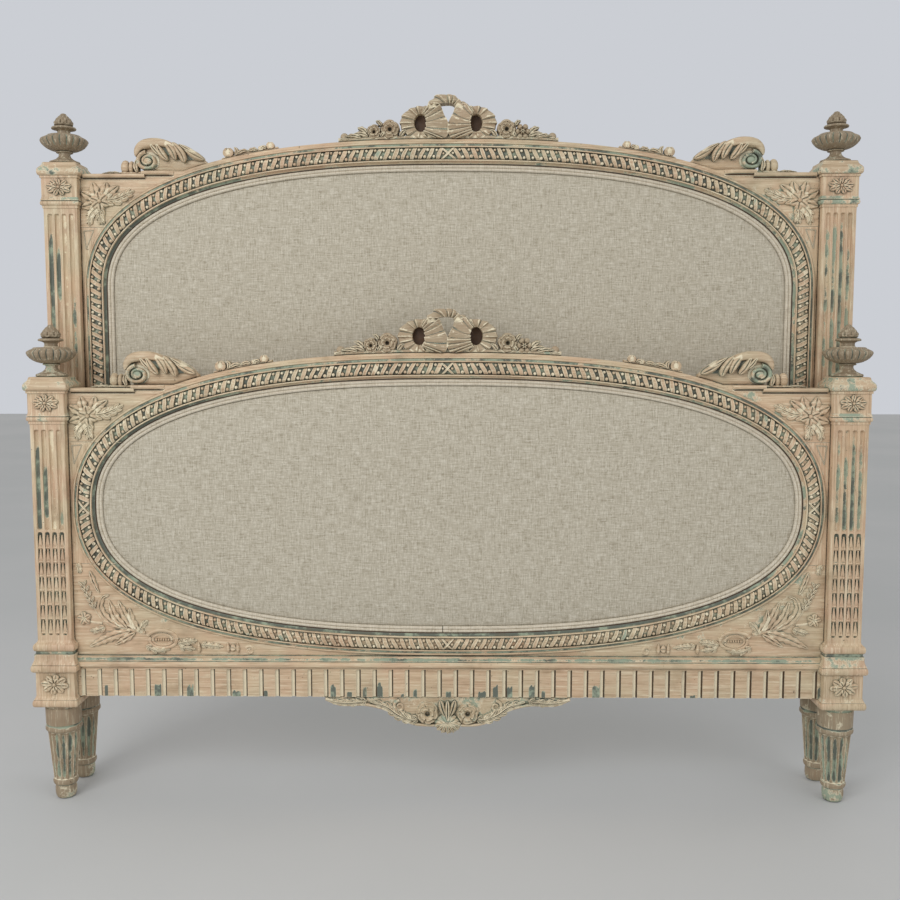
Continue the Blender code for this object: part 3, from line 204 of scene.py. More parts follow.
class Shells:
    """Closed shells of one piece: points, faces, and at each point its coat.

    The coat is bare gesso (-1), paint (0), the old green (1) or dark brown (2), which stands for bare wood
    and for painted shade.
    """

    def __init__(self):
        self.points = []
        self.faces = []
        self.green = []
        self.count = 0

    def add(self, points, faces, green=0.0):
        points = np.asarray(points, float).reshape(-1, 3)
        self.points.append(points)
        self.faces += [tuple(int(i) + self.count for i in face) for face in faces]
        self.green.append(np.broadcast_to(np.asarray(green, float), len(points)))
        self.count += len(points)

    def take(self, other, flip=False, move=(0.0, 0.0, 0.0)):
        """All shells of another list, mirrored across the middle if asked, then moved."""
        for points, green in zip(other.points, other.green):
            moved = points * (-1, 1, 1) if flip else points
            self.points.append(moved + np.asarray(move))
            self.green.append(green)
        self.faces += [tuple(i + self.count for i in face) for face in other.faces]
        self.count += other.count


def grid_faces(rows, cols, wrap_rows=False, wrap_cols=False):
    """Four-sided faces over a grid of points numbered row by row."""
    i = np.arange(rows if wrap_rows else rows - 1)[:, None]
    j = np.arange(cols if wrap_cols else cols - 1)[None, :]
    k = (i + 1) % rows
    h = (j + 1) % cols
    return np.stack([i * cols + j, i * cols + h, k * cols + h, k * cols + j], -1).reshape(-1, 4).tolist()


def tube_grid(shells, rings, green=0.0):
    """A closed skin over rings of points, with a flat end at the first and the last ring."""
    n, m = rings.shape[:2]
    faces = grid_faces(n, m, wrap_cols=True)
    faces += [list(range(m))[::-1], list(range((n - 1) * m, n * m))]
    shells.add(rings, faces, green)


def relief(shells, top, back_y, green):
    """A patch of carved surface with walls down to a flat back."""
    rows, cols = top.shape[:2]
    n = rows * cols
    index = np.arange(n).reshape(rows, cols)
    loop = np.concatenate([index[0], index[1:, -1], index[-1, -2::-1], index[-2:0:-1, 0]])
    m = len(loop)
    points = top.reshape(-1, 3)
    base = points[loop].copy()
    base[:, 1] = back_y
    faces = grid_faces(rows, cols)
    faces += [(loop[i], loop[(i + 1) % m], n + (i + 1) % m, n + i) for i in range(m)]
    faces.append([n + i for i in range(m)])
    tint = np.broadcast_to(np.asarray(green, float), n)
    back_tint = np.minimum(tint[loop], BACK_COAT)
    shells.add(np.vstack([points, base]), faces, np.concatenate([tint, back_tint]))


def around(n):
    """Evenly spread angles of a full turn."""
    return 2 * math.pi * np.arange(n) / n


def dome(square):
    """Height of a round hump, from the square of the share of the way out."""
    return np.sqrt(np.clip(1 - square, 0, 1))


def flat_ring(points, y):
    """Flat points in X and Z, put at one depth."""
    return np.stack([points[:, 0], np.full(len(points), y), points[:, 1]], -1)


def lathe(shells, profile, sides, dent=None, green=0.0):
    """A turned form from radii and heights; dent(angles, k) scales the radius around each ring."""
    turn = around(sides)
    rings = []
    for k, (r, z) in enumerate(profile):
        rr = r * (dent(turn, k) if dent else np.ones(sides))
        rings.append(np.stack([rr * np.cos(turn), rr * np.sin(turn), np.full(sides, z)], -1))
    tint = np.asarray(green, float)
    if tint.ndim == 1:
        tint = np.repeat(tint, sides)
    tube_grid(shells, np.array(rings), tint.ravel() if tint.ndim else green)


def ball(shells, at, radii, sides, rings, green=0.0):
    """A round lump with three radii."""
    p = math.pi * (np.arange(rings)[:, None] + 0.5) / rings
    a = around(sides)
    x = at[0] + radii[0] * np.sin(p) * np.cos(a)
    z = at[2] + radii[2] * np.sin(p) * np.sin(a)
    y = at[1] - radii[1] * np.cos(p) * np.ones(sides)
    tube_grid(shells, np.stack([x, y, z], -1), green)


def lengths(points):
    """Length of the way to each point of a line."""
    return np.concatenate([[0], np.cumsum(np.linalg.norm(np.diff(points, axis=0), axis=1))])


def along(points, at):
    """Points at given lengths of the way along a line."""
    run = lengths(points)
    return np.stack([np.interp(at, run, points[:, k]) for k in range(points.shape[1])], -1)


def spine(points, n):
    """Evenly spread points on a smooth curve through a few given ones."""
    p = np.asarray(points, float)
    if len(p) == 2:
        return p[0] + (p[1] - p[0]) * np.linspace(0, 1, n)[:, None]
    ends = np.vstack([2 * p[0] - p[1], p, 2 * p[-1] - p[-2]])
    fine = []
    t = np.linspace(0, 1, 16, endpoint=False)[:, None]
    for a, b, c, d in zip(ends, ends[1:], ends[2:], ends[3:]):
        fine.append(0.5 * (2 * b + (c - a) * t + (2 * a - 5 * b + 4 * c - d) * t ** 2
                           + (3 * b - a - 3 * c + d) * t ** 3))
    fine = np.vstack(fine + [p[-1:]])
    return along(fine, np.linspace(0, lengths(fine)[-1], n))


def sideways(line):
    """Unit directions square to a flat line."""
    step = np.gradient(line, axis=0)
    step /= np.linalg.norm(step, axis=1)[:, None]
    return np.stack([-step[:, 1], step[:, 0]], -1)


def leaf(shells, points, width, height, y0, lobes=0, sink=LEAF_SINK, curl=0.0, green=0.0,
         rows=18, cols=9, vein=0.32):
    """A carved leaf along a flat line in X and Z, standing out from the plane y0."""
    line = spine(points, rows)
    side = sideways(line)
    t = np.linspace(0, 1, rows)[:, None]
    s = np.linspace(-1, 1, cols)
    swell = 0.10 + 0.90 * np.sin(math.pi * t ** 0.78) ** 0.7
    edge = swell.copy()
    if lobes:
        edge *= 1 - 0.22 * np.abs(np.sin(math.pi * lobes * t)) ** 2
    reach = width * edge * s
    x = line[:, :1] + side[:, :1] * reach
    z = line[:, 1:] + side[:, 1:] * reach
    rise = 0.34 + 0.66 * (1 - s ** 2) ** 0.5 * (0.35 + 0.65 * swell)
    rise = rise - vein * np.exp(-(s / 0.20) ** 2) * swell
    if lobes:
        rise = rise + 0.12 * np.cos(2 * math.pi * (lobes * t - 0.8 * np.abs(s)))
    rise = rise + curl * np.clip(t - 0.60, 0, 1)
    # Green in the vein and along the outline, cream on the ridges: old green and wear, with painted shade and
    # painted highlight
    ridge = 1 - (2 * np.abs(s) - 1) ** 2
    coat = green + min(vein / 0.3, 1.0) * (LEAF_HOLLOW - (LEAF_HOLLOW + LEAF_RIDGE) * ridge)
    relief(shells, np.stack([x, y0 - height * rise, z], -1), y0 + sink, np.tile(coat, rows))


def acanthus(shells, points, width, height, y0, pairs, sink=LEAF_SINK, green=0.0):
    """A large leaf with fingers that spring from both sides of its middle rib."""
    line = spine(points, 60)
    side = sideways(line)
    ahead = np.stack([side[:, 1], -side[:, 0]], -1)
    for way in (-1, 1):
        for k in range(pairs):
            t = 0.04 + 0.80 * k / max(pairs - 0.4, 1)
            i = int(t * 59)
            lean = math.radians(46 - 16 * t)
            out = ahead[i] * math.cos(lean) + side[i] * way * math.sin(lean)
            bend = ahead[i] * math.cos(lean * 0.45) + side[i] * way * math.sin(lean * 0.45)
            size = width * (1.45 - 0.65 * t) * (0.85 if k == 0 else 1.0)
            tip = line[i] + out * size * 0.62 + bend * size * 0.55
            finger = [line[i], line[i] + out * size * 0.6, tip]
            tall = height * (0.95 - 0.2 * t)
            leaf(shells, finger, size * 0.36, tall, y0, 0, sink, 0.35, green, 12, 7, 0.25)
    leaf(shells, points, width * 0.80, height * 0.62, y0, pairs, sink, 0.1, green, 26, 9, 0.20)
    leaf(shells, points, width * 0.32, height * 1.12, y0, 0, sink, 0.2, green, 26, 7, 0.30)


def stem(shells, points, r0, r1, y0, deep=0.8, sides=8, rows=24, green=0.0):
    """A round stem along a flat line in X and Z, half sunk in the plane y0."""
    line = spine(points, rows)
    side = sideways(line)
    r = np.linspace(r0, r1, rows)[:, None]
    a = around(sides)
    x = line[:, :1] + side[:, :1] * r * np.cos(a)
    z = line[:, 1:] + side[:, 1:] * r * np.cos(a)
    y = y0 - deep * r * np.sin(a)
    tube_grid(shells, np.stack([x, y, z], -1), green)


def spiral(centre, start_r, end_r, start_a, turns, n):
    """Flat points on a spiral that winds in towards a centre."""
    t = np.linspace(0, 1, n)
    r = start_r + (end_r - start_r) * t
    a = start_a + 2 * math.pi * turns * t
    return np.stack([centre[0] + r * np.cos(a), centre[1] + r * np.sin(a)], -1)


def medallion(shells, at, radii, edge, height, y0, back_y, sides, rings, green):
    """A round carving with an outline edge(angles) and a relief height(share of the way out, angles).

    Its coat green may be a function of that share.
    """
    a = around(sides)
    share = np.linspace(0, 1, rings + 1)[1:]
    if callable(green):
        green = np.concatenate([[green(0.0)], green(np.repeat(share, sides)), np.full(sides, green(1.0))])
    reach = share[:, None] * edge(a)
    x = at[0] + radii[0] * reach * np.cos(a)
    z = at[1] + radii[1] * reach * np.sin(a)
    y = y0 - height(share[:, None], a[None, :]) * np.ones_like(reach)
    top = np.stack([x, y, z], -1).reshape(-1, 3)
    hub = [[at[0], y0 - float(np.mean(height(np.zeros((1, 1)), a[None, :]))), at[1]]]
    rim = top[-sides:].copy()
    rim[:, 1] = back_y
    faces = [(0, 1 + (i + 1) % sides, 1 + i) for i in range(sides)]
    faces += [[i + 1 for i in f] for f in grid_faces(rings, sides, wrap_cols=True)]
    last = 1 + (rings - 1) * sides
    low = 1 + rings * sides
    faces += [(last + i, last + (i + 1) % sides, low + (i + 1) % sides, low + i) for i in range(sides)]
    faces.append([low + i for i in range(sides)])
    shells.add(np.vstack([hub, top, rim]), faces, green)


def daisy(shells, at, radii, petals, height, y0, back_y, green):
    """An open flower with a button in its middle."""
    def edge(a):
        return 0.66 + 0.34 * np.abs(np.cos(petals * a / 2)) ** 0.55

    def lift(share, a):
        petal = np.abs(np.cos(petals * a / 2)) ** 0.5
        hollow = 1 - 0.45 * np.exp(-((share - 0.42) / 0.14) ** 2)
        button = 0.9 * np.exp(-(share / 0.26) ** 4)
        swell = 0.28 + 0.62 * petal * np.sin(math.pi * np.clip(share, 0, 1) ** 0.8)
        return height * (swell * hollow + button * 0.55)

    medallion(shells, at, radii, edge, lift, y0, back_y, petals * 8, 14, green)


def rosette(shells, at, radii, petals, height, y0, sink, green):
    """A leafy flower: a ring of broad petals, a smaller ring over it and a button."""
    middle_r = (radii[0] + radii[1]) / 2
    outer, inner = (1.0, 0.22, petals, 0.66), (0.60, 0.10, petals - 3, 0.95)
    for ring, (reach, start, count, lift) in enumerate((outer, inner)):
        for k in range(count):
            a = 2 * math.pi * (k + 0.5 * ring) / count + 0.15
            way = np.array((radii[0] * math.cos(a), radii[1] * math.sin(a)))
            ends = [np.array(at) + way * reach, np.array(at) + way * start]
            width = middle_r * reach * 2.3 / count
            leaf(shells, ends, width, height * lift, y0, 0, sink, -0.2, green, 12, 9, 0.34)
    button_r = radii[1] * 0.20
    ball(shells, (at[0], y0 - height * 0.5, at[1]), (button_r, height * 0.5, button_r), 10, 7, green)


def rose(shells, at, radius, height, y0, back_y, green, turn):
    """A full rose: two rings of rolled petals around a deep heart, painted dark brown as shade."""
    def edge(a):
        return 0.87 + 0.13 * np.abs(np.cos(5 * (a - turn) / 2)) ** 0.5

    def lift(share, a):
        up = 0.32 * dome((share * 0.96) ** 2)
        for ring, petals, rim in ((0, 5, 0.96), (1, 4, 0.62)):
            shift = turn + ring * 0.7 + 0.6 * share
            scallop = rim * (0.82 + 0.18 * np.abs(np.cos(petals * (a - shift) / 2)) ** 0.6)
            inside = np.clip((scallop - share) / 0.08, 0, 1)
            lip = np.exp(-((share - scallop + 0.09) / 0.10) ** 2)
            seam = np.exp(-(np.cos(petals * (a - shift) / 2) / 0.22) ** 2)
            up = up + inside * 0.24 + lip * 0.24 - seam * lip * 0.38
        return height * (up - 1.05 * np.exp(-(share / 0.23) ** 2))

    # Dark brown in the heart: painted shade
    def coat(share):
        return np.where(share < 0.22, WOOD_AND_SHADE_COAT * 0.85, green)

    medallion(shells, at, (radius, radius), edge, lift, y0, back_y, 60, 22, coat)


def slab(shells, xs, low, high, y_front, y_back, bulge, rows, green):
    """An upright slab between two curves over X, with its front rounded off along both edges."""
    s = np.linspace(0, 1, rows)
    z = low[:, None] + (high - low)[:, None] * s
    soft = (1 - np.abs(2 * s - 1) ** 4) * np.ones((len(xs), 1))
    y = y_front + bulge * (1 - soft)
    relief(shells, np.stack([xs[:, None] * np.ones(rows), y, z], -1), y_back, green)


# The curve that both boards are built on
def outline(board):
    """Points and outward directions along the edge of the linen, clockwise from the top, by even steps."""
    t = np.linspace(math.pi / 2, 0, PATH_POINTS)
    x = OVAL_A * np.cos(t).clip(0) ** (2 / OVAL_POWER)
    z = OVAL_B * np.sin(t).clip(0) ** (2 / OVAL_POWER)
    x[0] = 0.0
    z[-1] = 0.0
    x[-1] = OVAL_A
    half = np.stack([x, z], -1)
    if board == "foot":
        below = half[-2::-1] * (1, -1)
    else:
        low = HEAD_OPENING - OVAL_Z["head"]
        straight = np.linspace((OVAL_A, 0), (OVAL_A, low + HEAD_CORNER_R), 400)[1:]
        a = np.linspace(0, math.pi / 2, 200)[1:]
        bend = np.stack([OVAL_A - HEAD_CORNER_R + HEAD_CORNER_R * np.cos(a),
                         low + HEAD_CORNER_R - HEAD_CORNER_R * np.sin(a)], -1)
        foot_run = np.linspace((OVAL_A - HEAD_CORNER_R, low), (0, low), 400)[1:]
        below = np.vstack([straight, bend, foot_run])
    half = np.vstack([half, below])
    full = np.vstack([half, (half * (-1, 1))[-2:0:-1]])
    loop = np.vstack([full, full[:1]])
    even = along(loop, np.linspace(0, lengths(loop)[-1], PATH_POINTS, endpoint=False))
    ahead = np.roll(even, -12, 0) - np.roll(even, 12, 0)
    ahead /= np.linalg.norm(ahead, axis=1)[:, None]
    return even, np.stack([-ahead[:, 1], ahead[:, 0]], -1)


PATH = {board: outline(board) for board in BODY}


def moved_out(board, s):
    """The edge of the linen moved outwards by s millimetres."""
    points, normals = PATH[board]
    return points + normals * s * MM


def rail_edge(x):
    """Height of the top rail's upper edge above the middle of the oval."""
    pts = moved_out("foot", TOP_EDGE)
    quarter = pts[: len(pts) // 4]
    x = np.abs(x)
    arc = np.interp(x, quarter[:, 0], quarter[:, 1])
    return np.where(x <= STEP_INNER_X, np.maximum(arc, STEP_HIGH), STEP_LOW)


def crossing(gap, way):
    """How far rays go until they have crossed a gap, by the part of each ray that leads across it."""
    with np.errstate(divide="ignore", invalid="ignore"):
        return np.where(way > 1e-9, gap / way, FAR_OFF)


def reach_to_outline(board):
    """For each point of the path, how far the board goes outwards there."""
    x, z = PATH[board][0].T
    out, rise = PATH[board][1].T
    side = crossing(BOARD_X - np.abs(x), np.abs(out))
    down = crossing(z - BOARD_BOTTOM[board] + OVAL_Z[board], -rise)
    to_high = crossing(STEP_HIGH - z, rise)
    to_low = crossing(STEP_LOW - z, rise)
    up = np.where(np.abs(x + out * to_high) <= STEP_INNER_X, to_high, to_low)
    far = np.minimum(np.minimum(side, down), up)
    crown = z + rise * TOP_EDGE * MM
    return np.where((crown > STEP_HIGH) & (np.abs(x) < STEP_INNER_X), TOP_EDGE * MM, far)


def ring_section():
    """Section of the moulding in millimetres: distance from the linen's edge, depth, and old green."""
    bed = BED_Y + 1.0
    # Dark brown at the inner corner beside the welt: a painted shadow line
    out = [(13.3, SEAT_Y, 0.6), (13.5, -15.5, WOOD_AND_SHADE_COAT)]
    for u in (0.2, 0.4, 0.6, 0.8, 1.0):
        out.append((13.5 + 6.1 * u, -15.5 - 5.5 * u ** 2.2, WOOD_AND_SHADE_COAT if u < 0.3 else 0.95))
    out += [(19.8, -25.0, 0.1), (20.4, -25.8, -0.4), (22.0, -25.8, -0.4), (22.6, -25.0, 0.2)]
    out.append((22.8, bed, 0.7))
    for a in np.linspace(0, math.pi, 9):
        out.append((RIBBON_MID - RIBBON_HALF * math.cos(a), bed - ROD_RISE * 0.8 * math.sin(a), 0.85))
    out += [(47.2, bed, 0.7), (47.4, -25.4, 0.2), (48.0, -26.2, 0.0), (49.6, -26.2, 0.0), (50.2, -25.4, 0.3)]
    out += [(50.4, -23.6, 0.7), (51.4, -22.3, 0.75), (53.0, -21.6, 0.75), (54.8, -21.5, 0.7)]
    out += [(55.2, -22.6, 0.3), (56.4, -23.5, 0.12), (58.2, -23.2, 0.12), (59.6, -21.4, 0.3)]
    out.append((60.4, -18.6, 0.4))
    return out


RING = ring_section()


def frame_body(board):
    """Moulding and board of one frame as a single swept skin, about the middle of its oval."""
    points, normals = PATH[board]
    far = reach_to_outline(board)
    run = np.linalg.norm(np.diff(points, axis=0), axis=1).sum() / MM
    picks = set(np.linspace(0, len(points), int(run / STATION_GAP), endpoint=False).astype(int))
    low = BOARD_BOTTOM[board] - OVAL_Z[board]
    for cx in (-BOARD_X, BOARD_X, -STEP_INNER_X, STEP_INNER_X):
        for cz in ((low, STEP_LOW) if abs(cx) == BOARD_X else (STEP_HIGH, STEP_LOW)):
            to = np.array((cx, cz)) - points
            off = np.abs(to[:, 0] * normals[:, 1] - to[:, 1] * normals[:, 0])
            off[(to * normals).sum(1) < 0] = FAR_OFF
            picks.add(int(np.argmin(off)))
    picks = np.array(sorted(picks))
    rows = []
    tints = []
    back = -FACE_Y
    floor_y = back - REBATE_DEEP
    for k in picks:
        end = far[k] / MM
        section = [(0.0, SEAT_Y, 0.5)] + RING
        for inset in (EDGE_ROUND + 1.5, EDGE_ROUND):
            section.append((max(end - inset, RING_W + 0.4 - 0.1 * inset), FACE_Y, 0.12))
        section.append((end, FACE_Y + EDGE_ROUND, 0.12))
        section += [(end, back - EDGE_ROUND, 0.1), (end - EDGE_ROUND, back, 0.1)]
        section += [(s, y, 0.1) for s, y in ((REBATE_W, back), (REBATE_W, floor_y), (0.0, floor_y))]
        across, up = points[k, 0] / OVAL_A, points[k, 1] / OVAL_B
        aged = RIGHT_RING_AGE * max(across, 0.0)
        hollow_loss = RING_LOSS * min(max(2.5 * (across + up), 0.0), 1.0)
        ground_loss = RING_LOSS * min(max(2.0 * (across - up), 0.0), 1.0)
        row = []
        for s, y, g in section:
            x, z = points[k] + normals[k] * s * MM
            row.append((x, y * MM, z))
            lost = hollow_loss * (HOLLOW[0] < s < HOLLOW[1])
            lost += ground_loss * (abs(s - RIBBON_MID) <= RIBBON_HALF)
            tints.append(g + aged - lost)
        rows.append(row)
    rows = np.array(rows)
    shells = Shells()
    shells.add(rows, grid_faces(len(rows), rows.shape[1], True, True), np.array(tints))
    return shells


def ribbon_line(board):
    """Lengths in millimetres along the middle of the ribbon, with the places and outward directions there."""
    line = np.hstack([moved_out(board, RIBBON_MID), PATH[board][1]])
    line = np.vstack([line, line[:1]])
    return lengths(line[:, :2]) / MM, line


RIBBON_LINE = {board: ribbon_line(board) for board in BODY}


def ribbon_point(board, u, v, y):
    """A place in the ribbon zone: u along it, v across it from -1 to 1, y its depth, all in millimetres."""
    run, line = RIBBON_LINE[board]
    x, z, out, up = [np.interp(np.mod(u, run[-1]), run, column) for column in line.T]
    aside = v * RIBBON_HALF * MM
    return np.stack([x + out * aside, y * MM, z + up * aside], -1)


def rod_depth(v):
    """Depth of the rod's face across the ribbon zone."""
    return BED_Y - ROD_RISE * dome(v ** 2)


HAND = np.random.RandomState(7)


def by_hand(spread):
    """A small chance deviation, as a carver's hand leaves it."""
    return float(HAND.uniform(-spread, spread))


def band(board, u0, slant, half, lift=0.0):
    """One turn of the ribbon across the rod, as a closed shell."""
    v = np.linspace(-1, 1, 11)[:, None]
    c = np.linspace(-1, 1, 5)[None, :]
    half = half * (1 + by_hand(0.12))
    u = u0 + by_hand(0.5) + slant * (1 + by_hand(0.15)) * v * RIBBON_HALF + c * half * (1 - 0.22 * v ** 2)
    u = u + 0.7 * np.sin(2.4 * v + by_hand(3.0))
    crease = 0.75 * np.cos(math.pi * c) * (1 - 0.4 * v ** 2)
    y = rod_depth(v) - BAND_RISE * (0.45 + 0.55 * np.sqrt(1 - 0.96 * v ** 2)) + crease - lift + by_hand(0.4)
    y = y + 0.5 * np.abs(c) ** 3
    shells = Shells()
    relief(shells, ribbon_point(board, u, v * np.ones_like(c), y), (BED_Y + 1.2) * MM, by_hand(0.60) - 0.05)
    return shells


def pearl(board, u, v, r):
    """One bead beside the ribbon."""
    u = u + by_hand(0.6)
    v = v + by_hand(0.05)
    r = r * (1 + by_hand(0.12))
    at = ribbon_point(board, np.array([u]), np.array([v]), np.array([rod_depth(v) - 0.45 * r]))[0]
    shells = Shells()
    # Pearls pale cream: bare gesso and a painted highlight
    ball(shells, at, (r * MM,) * 3, 9, 6, -0.60 + by_hand(0.40))
    return shells


def ribbon_units(board):
    """Every turn of the ribbon and every pearl, each with the height it sits at."""
    total = RIBBON_LINE[board][0][-1]
    quarter = total / 4 if board == "foot" else total / 2
    n = int(quarter / PITCH)
    pitch = quarter / n
    units = []
    for part in range(int(round(total / quarter))):
        start = part * quarter
        lean = -1 if part % 2 == 0 else 1
        for k in range(1, n):
            units.append(band(board, start + k * pitch, lean * BAND_SLANT, BAND_HALF))
        for k in range(n):
            u = start + (k + 0.5) * pitch
            if 0 < k < n - 1:
                units.append(pearl(board, u - lean * 3.0, -0.56, PEARL_R))
                units.append(pearl(board, u + lean * 3.0, 0.56, PEARL_R * 0.92))
        units.append(band(board, start, CROSS_SLANT, BAND_HALF * 0.62, 0.6))
        units.append(band(board, start, -CROSS_SLANT, BAND_HALF * 0.62))
        for way in (-1, 1):
            units.append(pearl(board, start + way * pitch * 0.52, 0.0, PEARL_R * 0.8))
    return units


# Meshes, cuts and pieces
def mesh_of(name, shells):
    """A smooth mesh of the shells, with the old green kept at its points."""
    mesh = bpy.data.meshes.new(name)
    mesh.from_pydata(np.vstack(shells.points).tolist(), [], shells.faces)
    tint = mesh.attributes.new("green", "FLOAT", "POINT")
    tint.data.foreach_set("value", np.concatenate(shells.green).astype(np.float32))
    work = bmesh.new()
    work.from_mesh(mesh)
    bmesh.ops.recalc_face_normals(work, faces=work.faces[:])
    work.to_mesh(mesh)
    work.free()
    return mesh


def saw(mesh, planes):
    """Keep the part of a mesh on the near side of each plane, closed where it was sawn."""
    work = bmesh.new()
    work.from_mesh(mesh)
    for point, away in planes:
        every = work.verts[:] + work.edges[:] + work.faces[:]
        bmesh.ops.bisect_plane(work, geom=every, plane_co=point, plane_no=away, clear_outer=True, dist=1e-7)
        rim = [e for e in work.edges if len(e.link_faces) == 1]
        bmesh.ops.holes_fill(work, edges=rim, sides=0)
    bmesh.ops.recalc_face_normals(work, faces=work.faces[:])
    work.to_mesh(mesh)
    work.free()
    return mesh


def show(name, shells, board, node, mat, mesh=None, sharp=38):
    """A finished piece in the place of its CAD node, riding on its board."""
    mesh = mesh or mesh_of(name, shells)
    mesh.shade_smooth()
    mesh.set_sharp_from_angle(angle=math.radians(sharp))
    mesh.materials.append(mat)
    obj = bpy.data.objects.new(name, mesh)
    bpy.context.scene.collection.objects.link(obj)
    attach(obj, BODY[board])
    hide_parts(node)
    return obj


def both(board, kind, shells, x, z=0.0, left=None):
    """A piece made for the right side, and its mirror image for the left."""
    for side, flip in (("right", False), ("left", True)):
        placed = Shells()
        placed.take(left if flip and left else shells, flip, (-x if flip else x, PLANE_Y[board], z))
        if not flip:
            placed.green = [coat + RIGHT_AGE[kind] for coat in placed.green]
        show("%s_carved_%s_%s" % (board, kind, side), placed, board, "%s_%s_%s" % (board, kind, side),
             MATERIALS[kind])


# Materials
class Nodes:
    """Short ways to add and join shader nodes."""

    def __init__(self, name):
        self.mat = bpy.data.materials.new(name)
        self.mat.use_nodes = True
        self.tree = self.mat.node_tree
        self.shader = self.tree.nodes["Principled BSDF"]

    def node(self, kind, **values):
        made = self.tree.nodes.new(kind)
        for key, value in values.items():
            setattr(made, key, value)
        return made

    def link(self, out, socket):
        if hasattr(out, "is_output"):
            self.tree.links.new(out, socket)
        else:
            socket.default_value = out

    def place(self, scale):
        coords = self.node("ShaderNodeTexCoord")
        mapping = self.node("ShaderNodeMapping")
        mapping.inputs["Scale"].default_value = scale
        self.tree.links.new(coords.outputs["Object"], mapping.inputs["Vector"])
        return mapping.outputs["Vector"]

    def noise(self, scale, detail, rough=0.55, stretch=(1, 1, 1)):
        tex = self.node("ShaderNodeTexNoise")
        self.tree.links.new(self.place(stretch), tex.inputs["Vector"])
        tex.inputs["Scale"].default_value = scale
        tex.inputs["Detail"].default_value = detail
        tex.inputs["Roughness"].default_value = rough
        return tex.outputs["Fac"]

    def math(self, kind, a, b, clamp=False):
        made = self.node("ShaderNodeMath", operation=kind, use_clamp=clamp)
        self.link(a, made.inputs[0])
        self.link(b, made.inputs[1])
        return made.outputs[0]

    def ramp(self, value, low, high, to_low=0.0, to_high=1.0):
        made = self.node("ShaderNodeMapRange", interpolation_type="SMOOTHSTEP")
        self.link(value, made.inputs["Value"])
        made.inputs["From Min"].default_value = low
        made.inputs["From Max"].default_value = high
        made.inputs["To Min"].default_value = to_low
        made.inputs["To Max"].default_value = to_high
        return made.outputs["Result"]

    def mix(self, share, a, b):
        made = self.node("ShaderNodeMix", data_type="RGBA")
        self.link(share, made.inputs[0])
        self.link(a, made.inputs[6])
        self.link(b, made.inputs[7])
        return made.outputs[2]

    def total(self, *terms, clamp=False):
        parts = [self.math("MULTIPLY", value, weight) for value, weight in terms]
        out = parts[0]
        for part in parts[1:]:
            out = self.math("ADD", out, part, clamp)
        return out

    def openness(self, distance, inside=False):
        made = self.node("ShaderNodeAmbientOcclusion", samples=6, inside=inside)
        made.inputs["Distance"].default_value = distance
        return made.outputs["AO"]

    def bump(self, height, distance):
        made = self.node("ShaderNodeBump")
        made.inputs["Distance"].default_value = distance
        made.inputs["Strength"].default_value = 1.0
        self.link(height, made.inputs["Height"])
        self.link(made.outputs["Normal"], self.shader.inputs["Normal"])


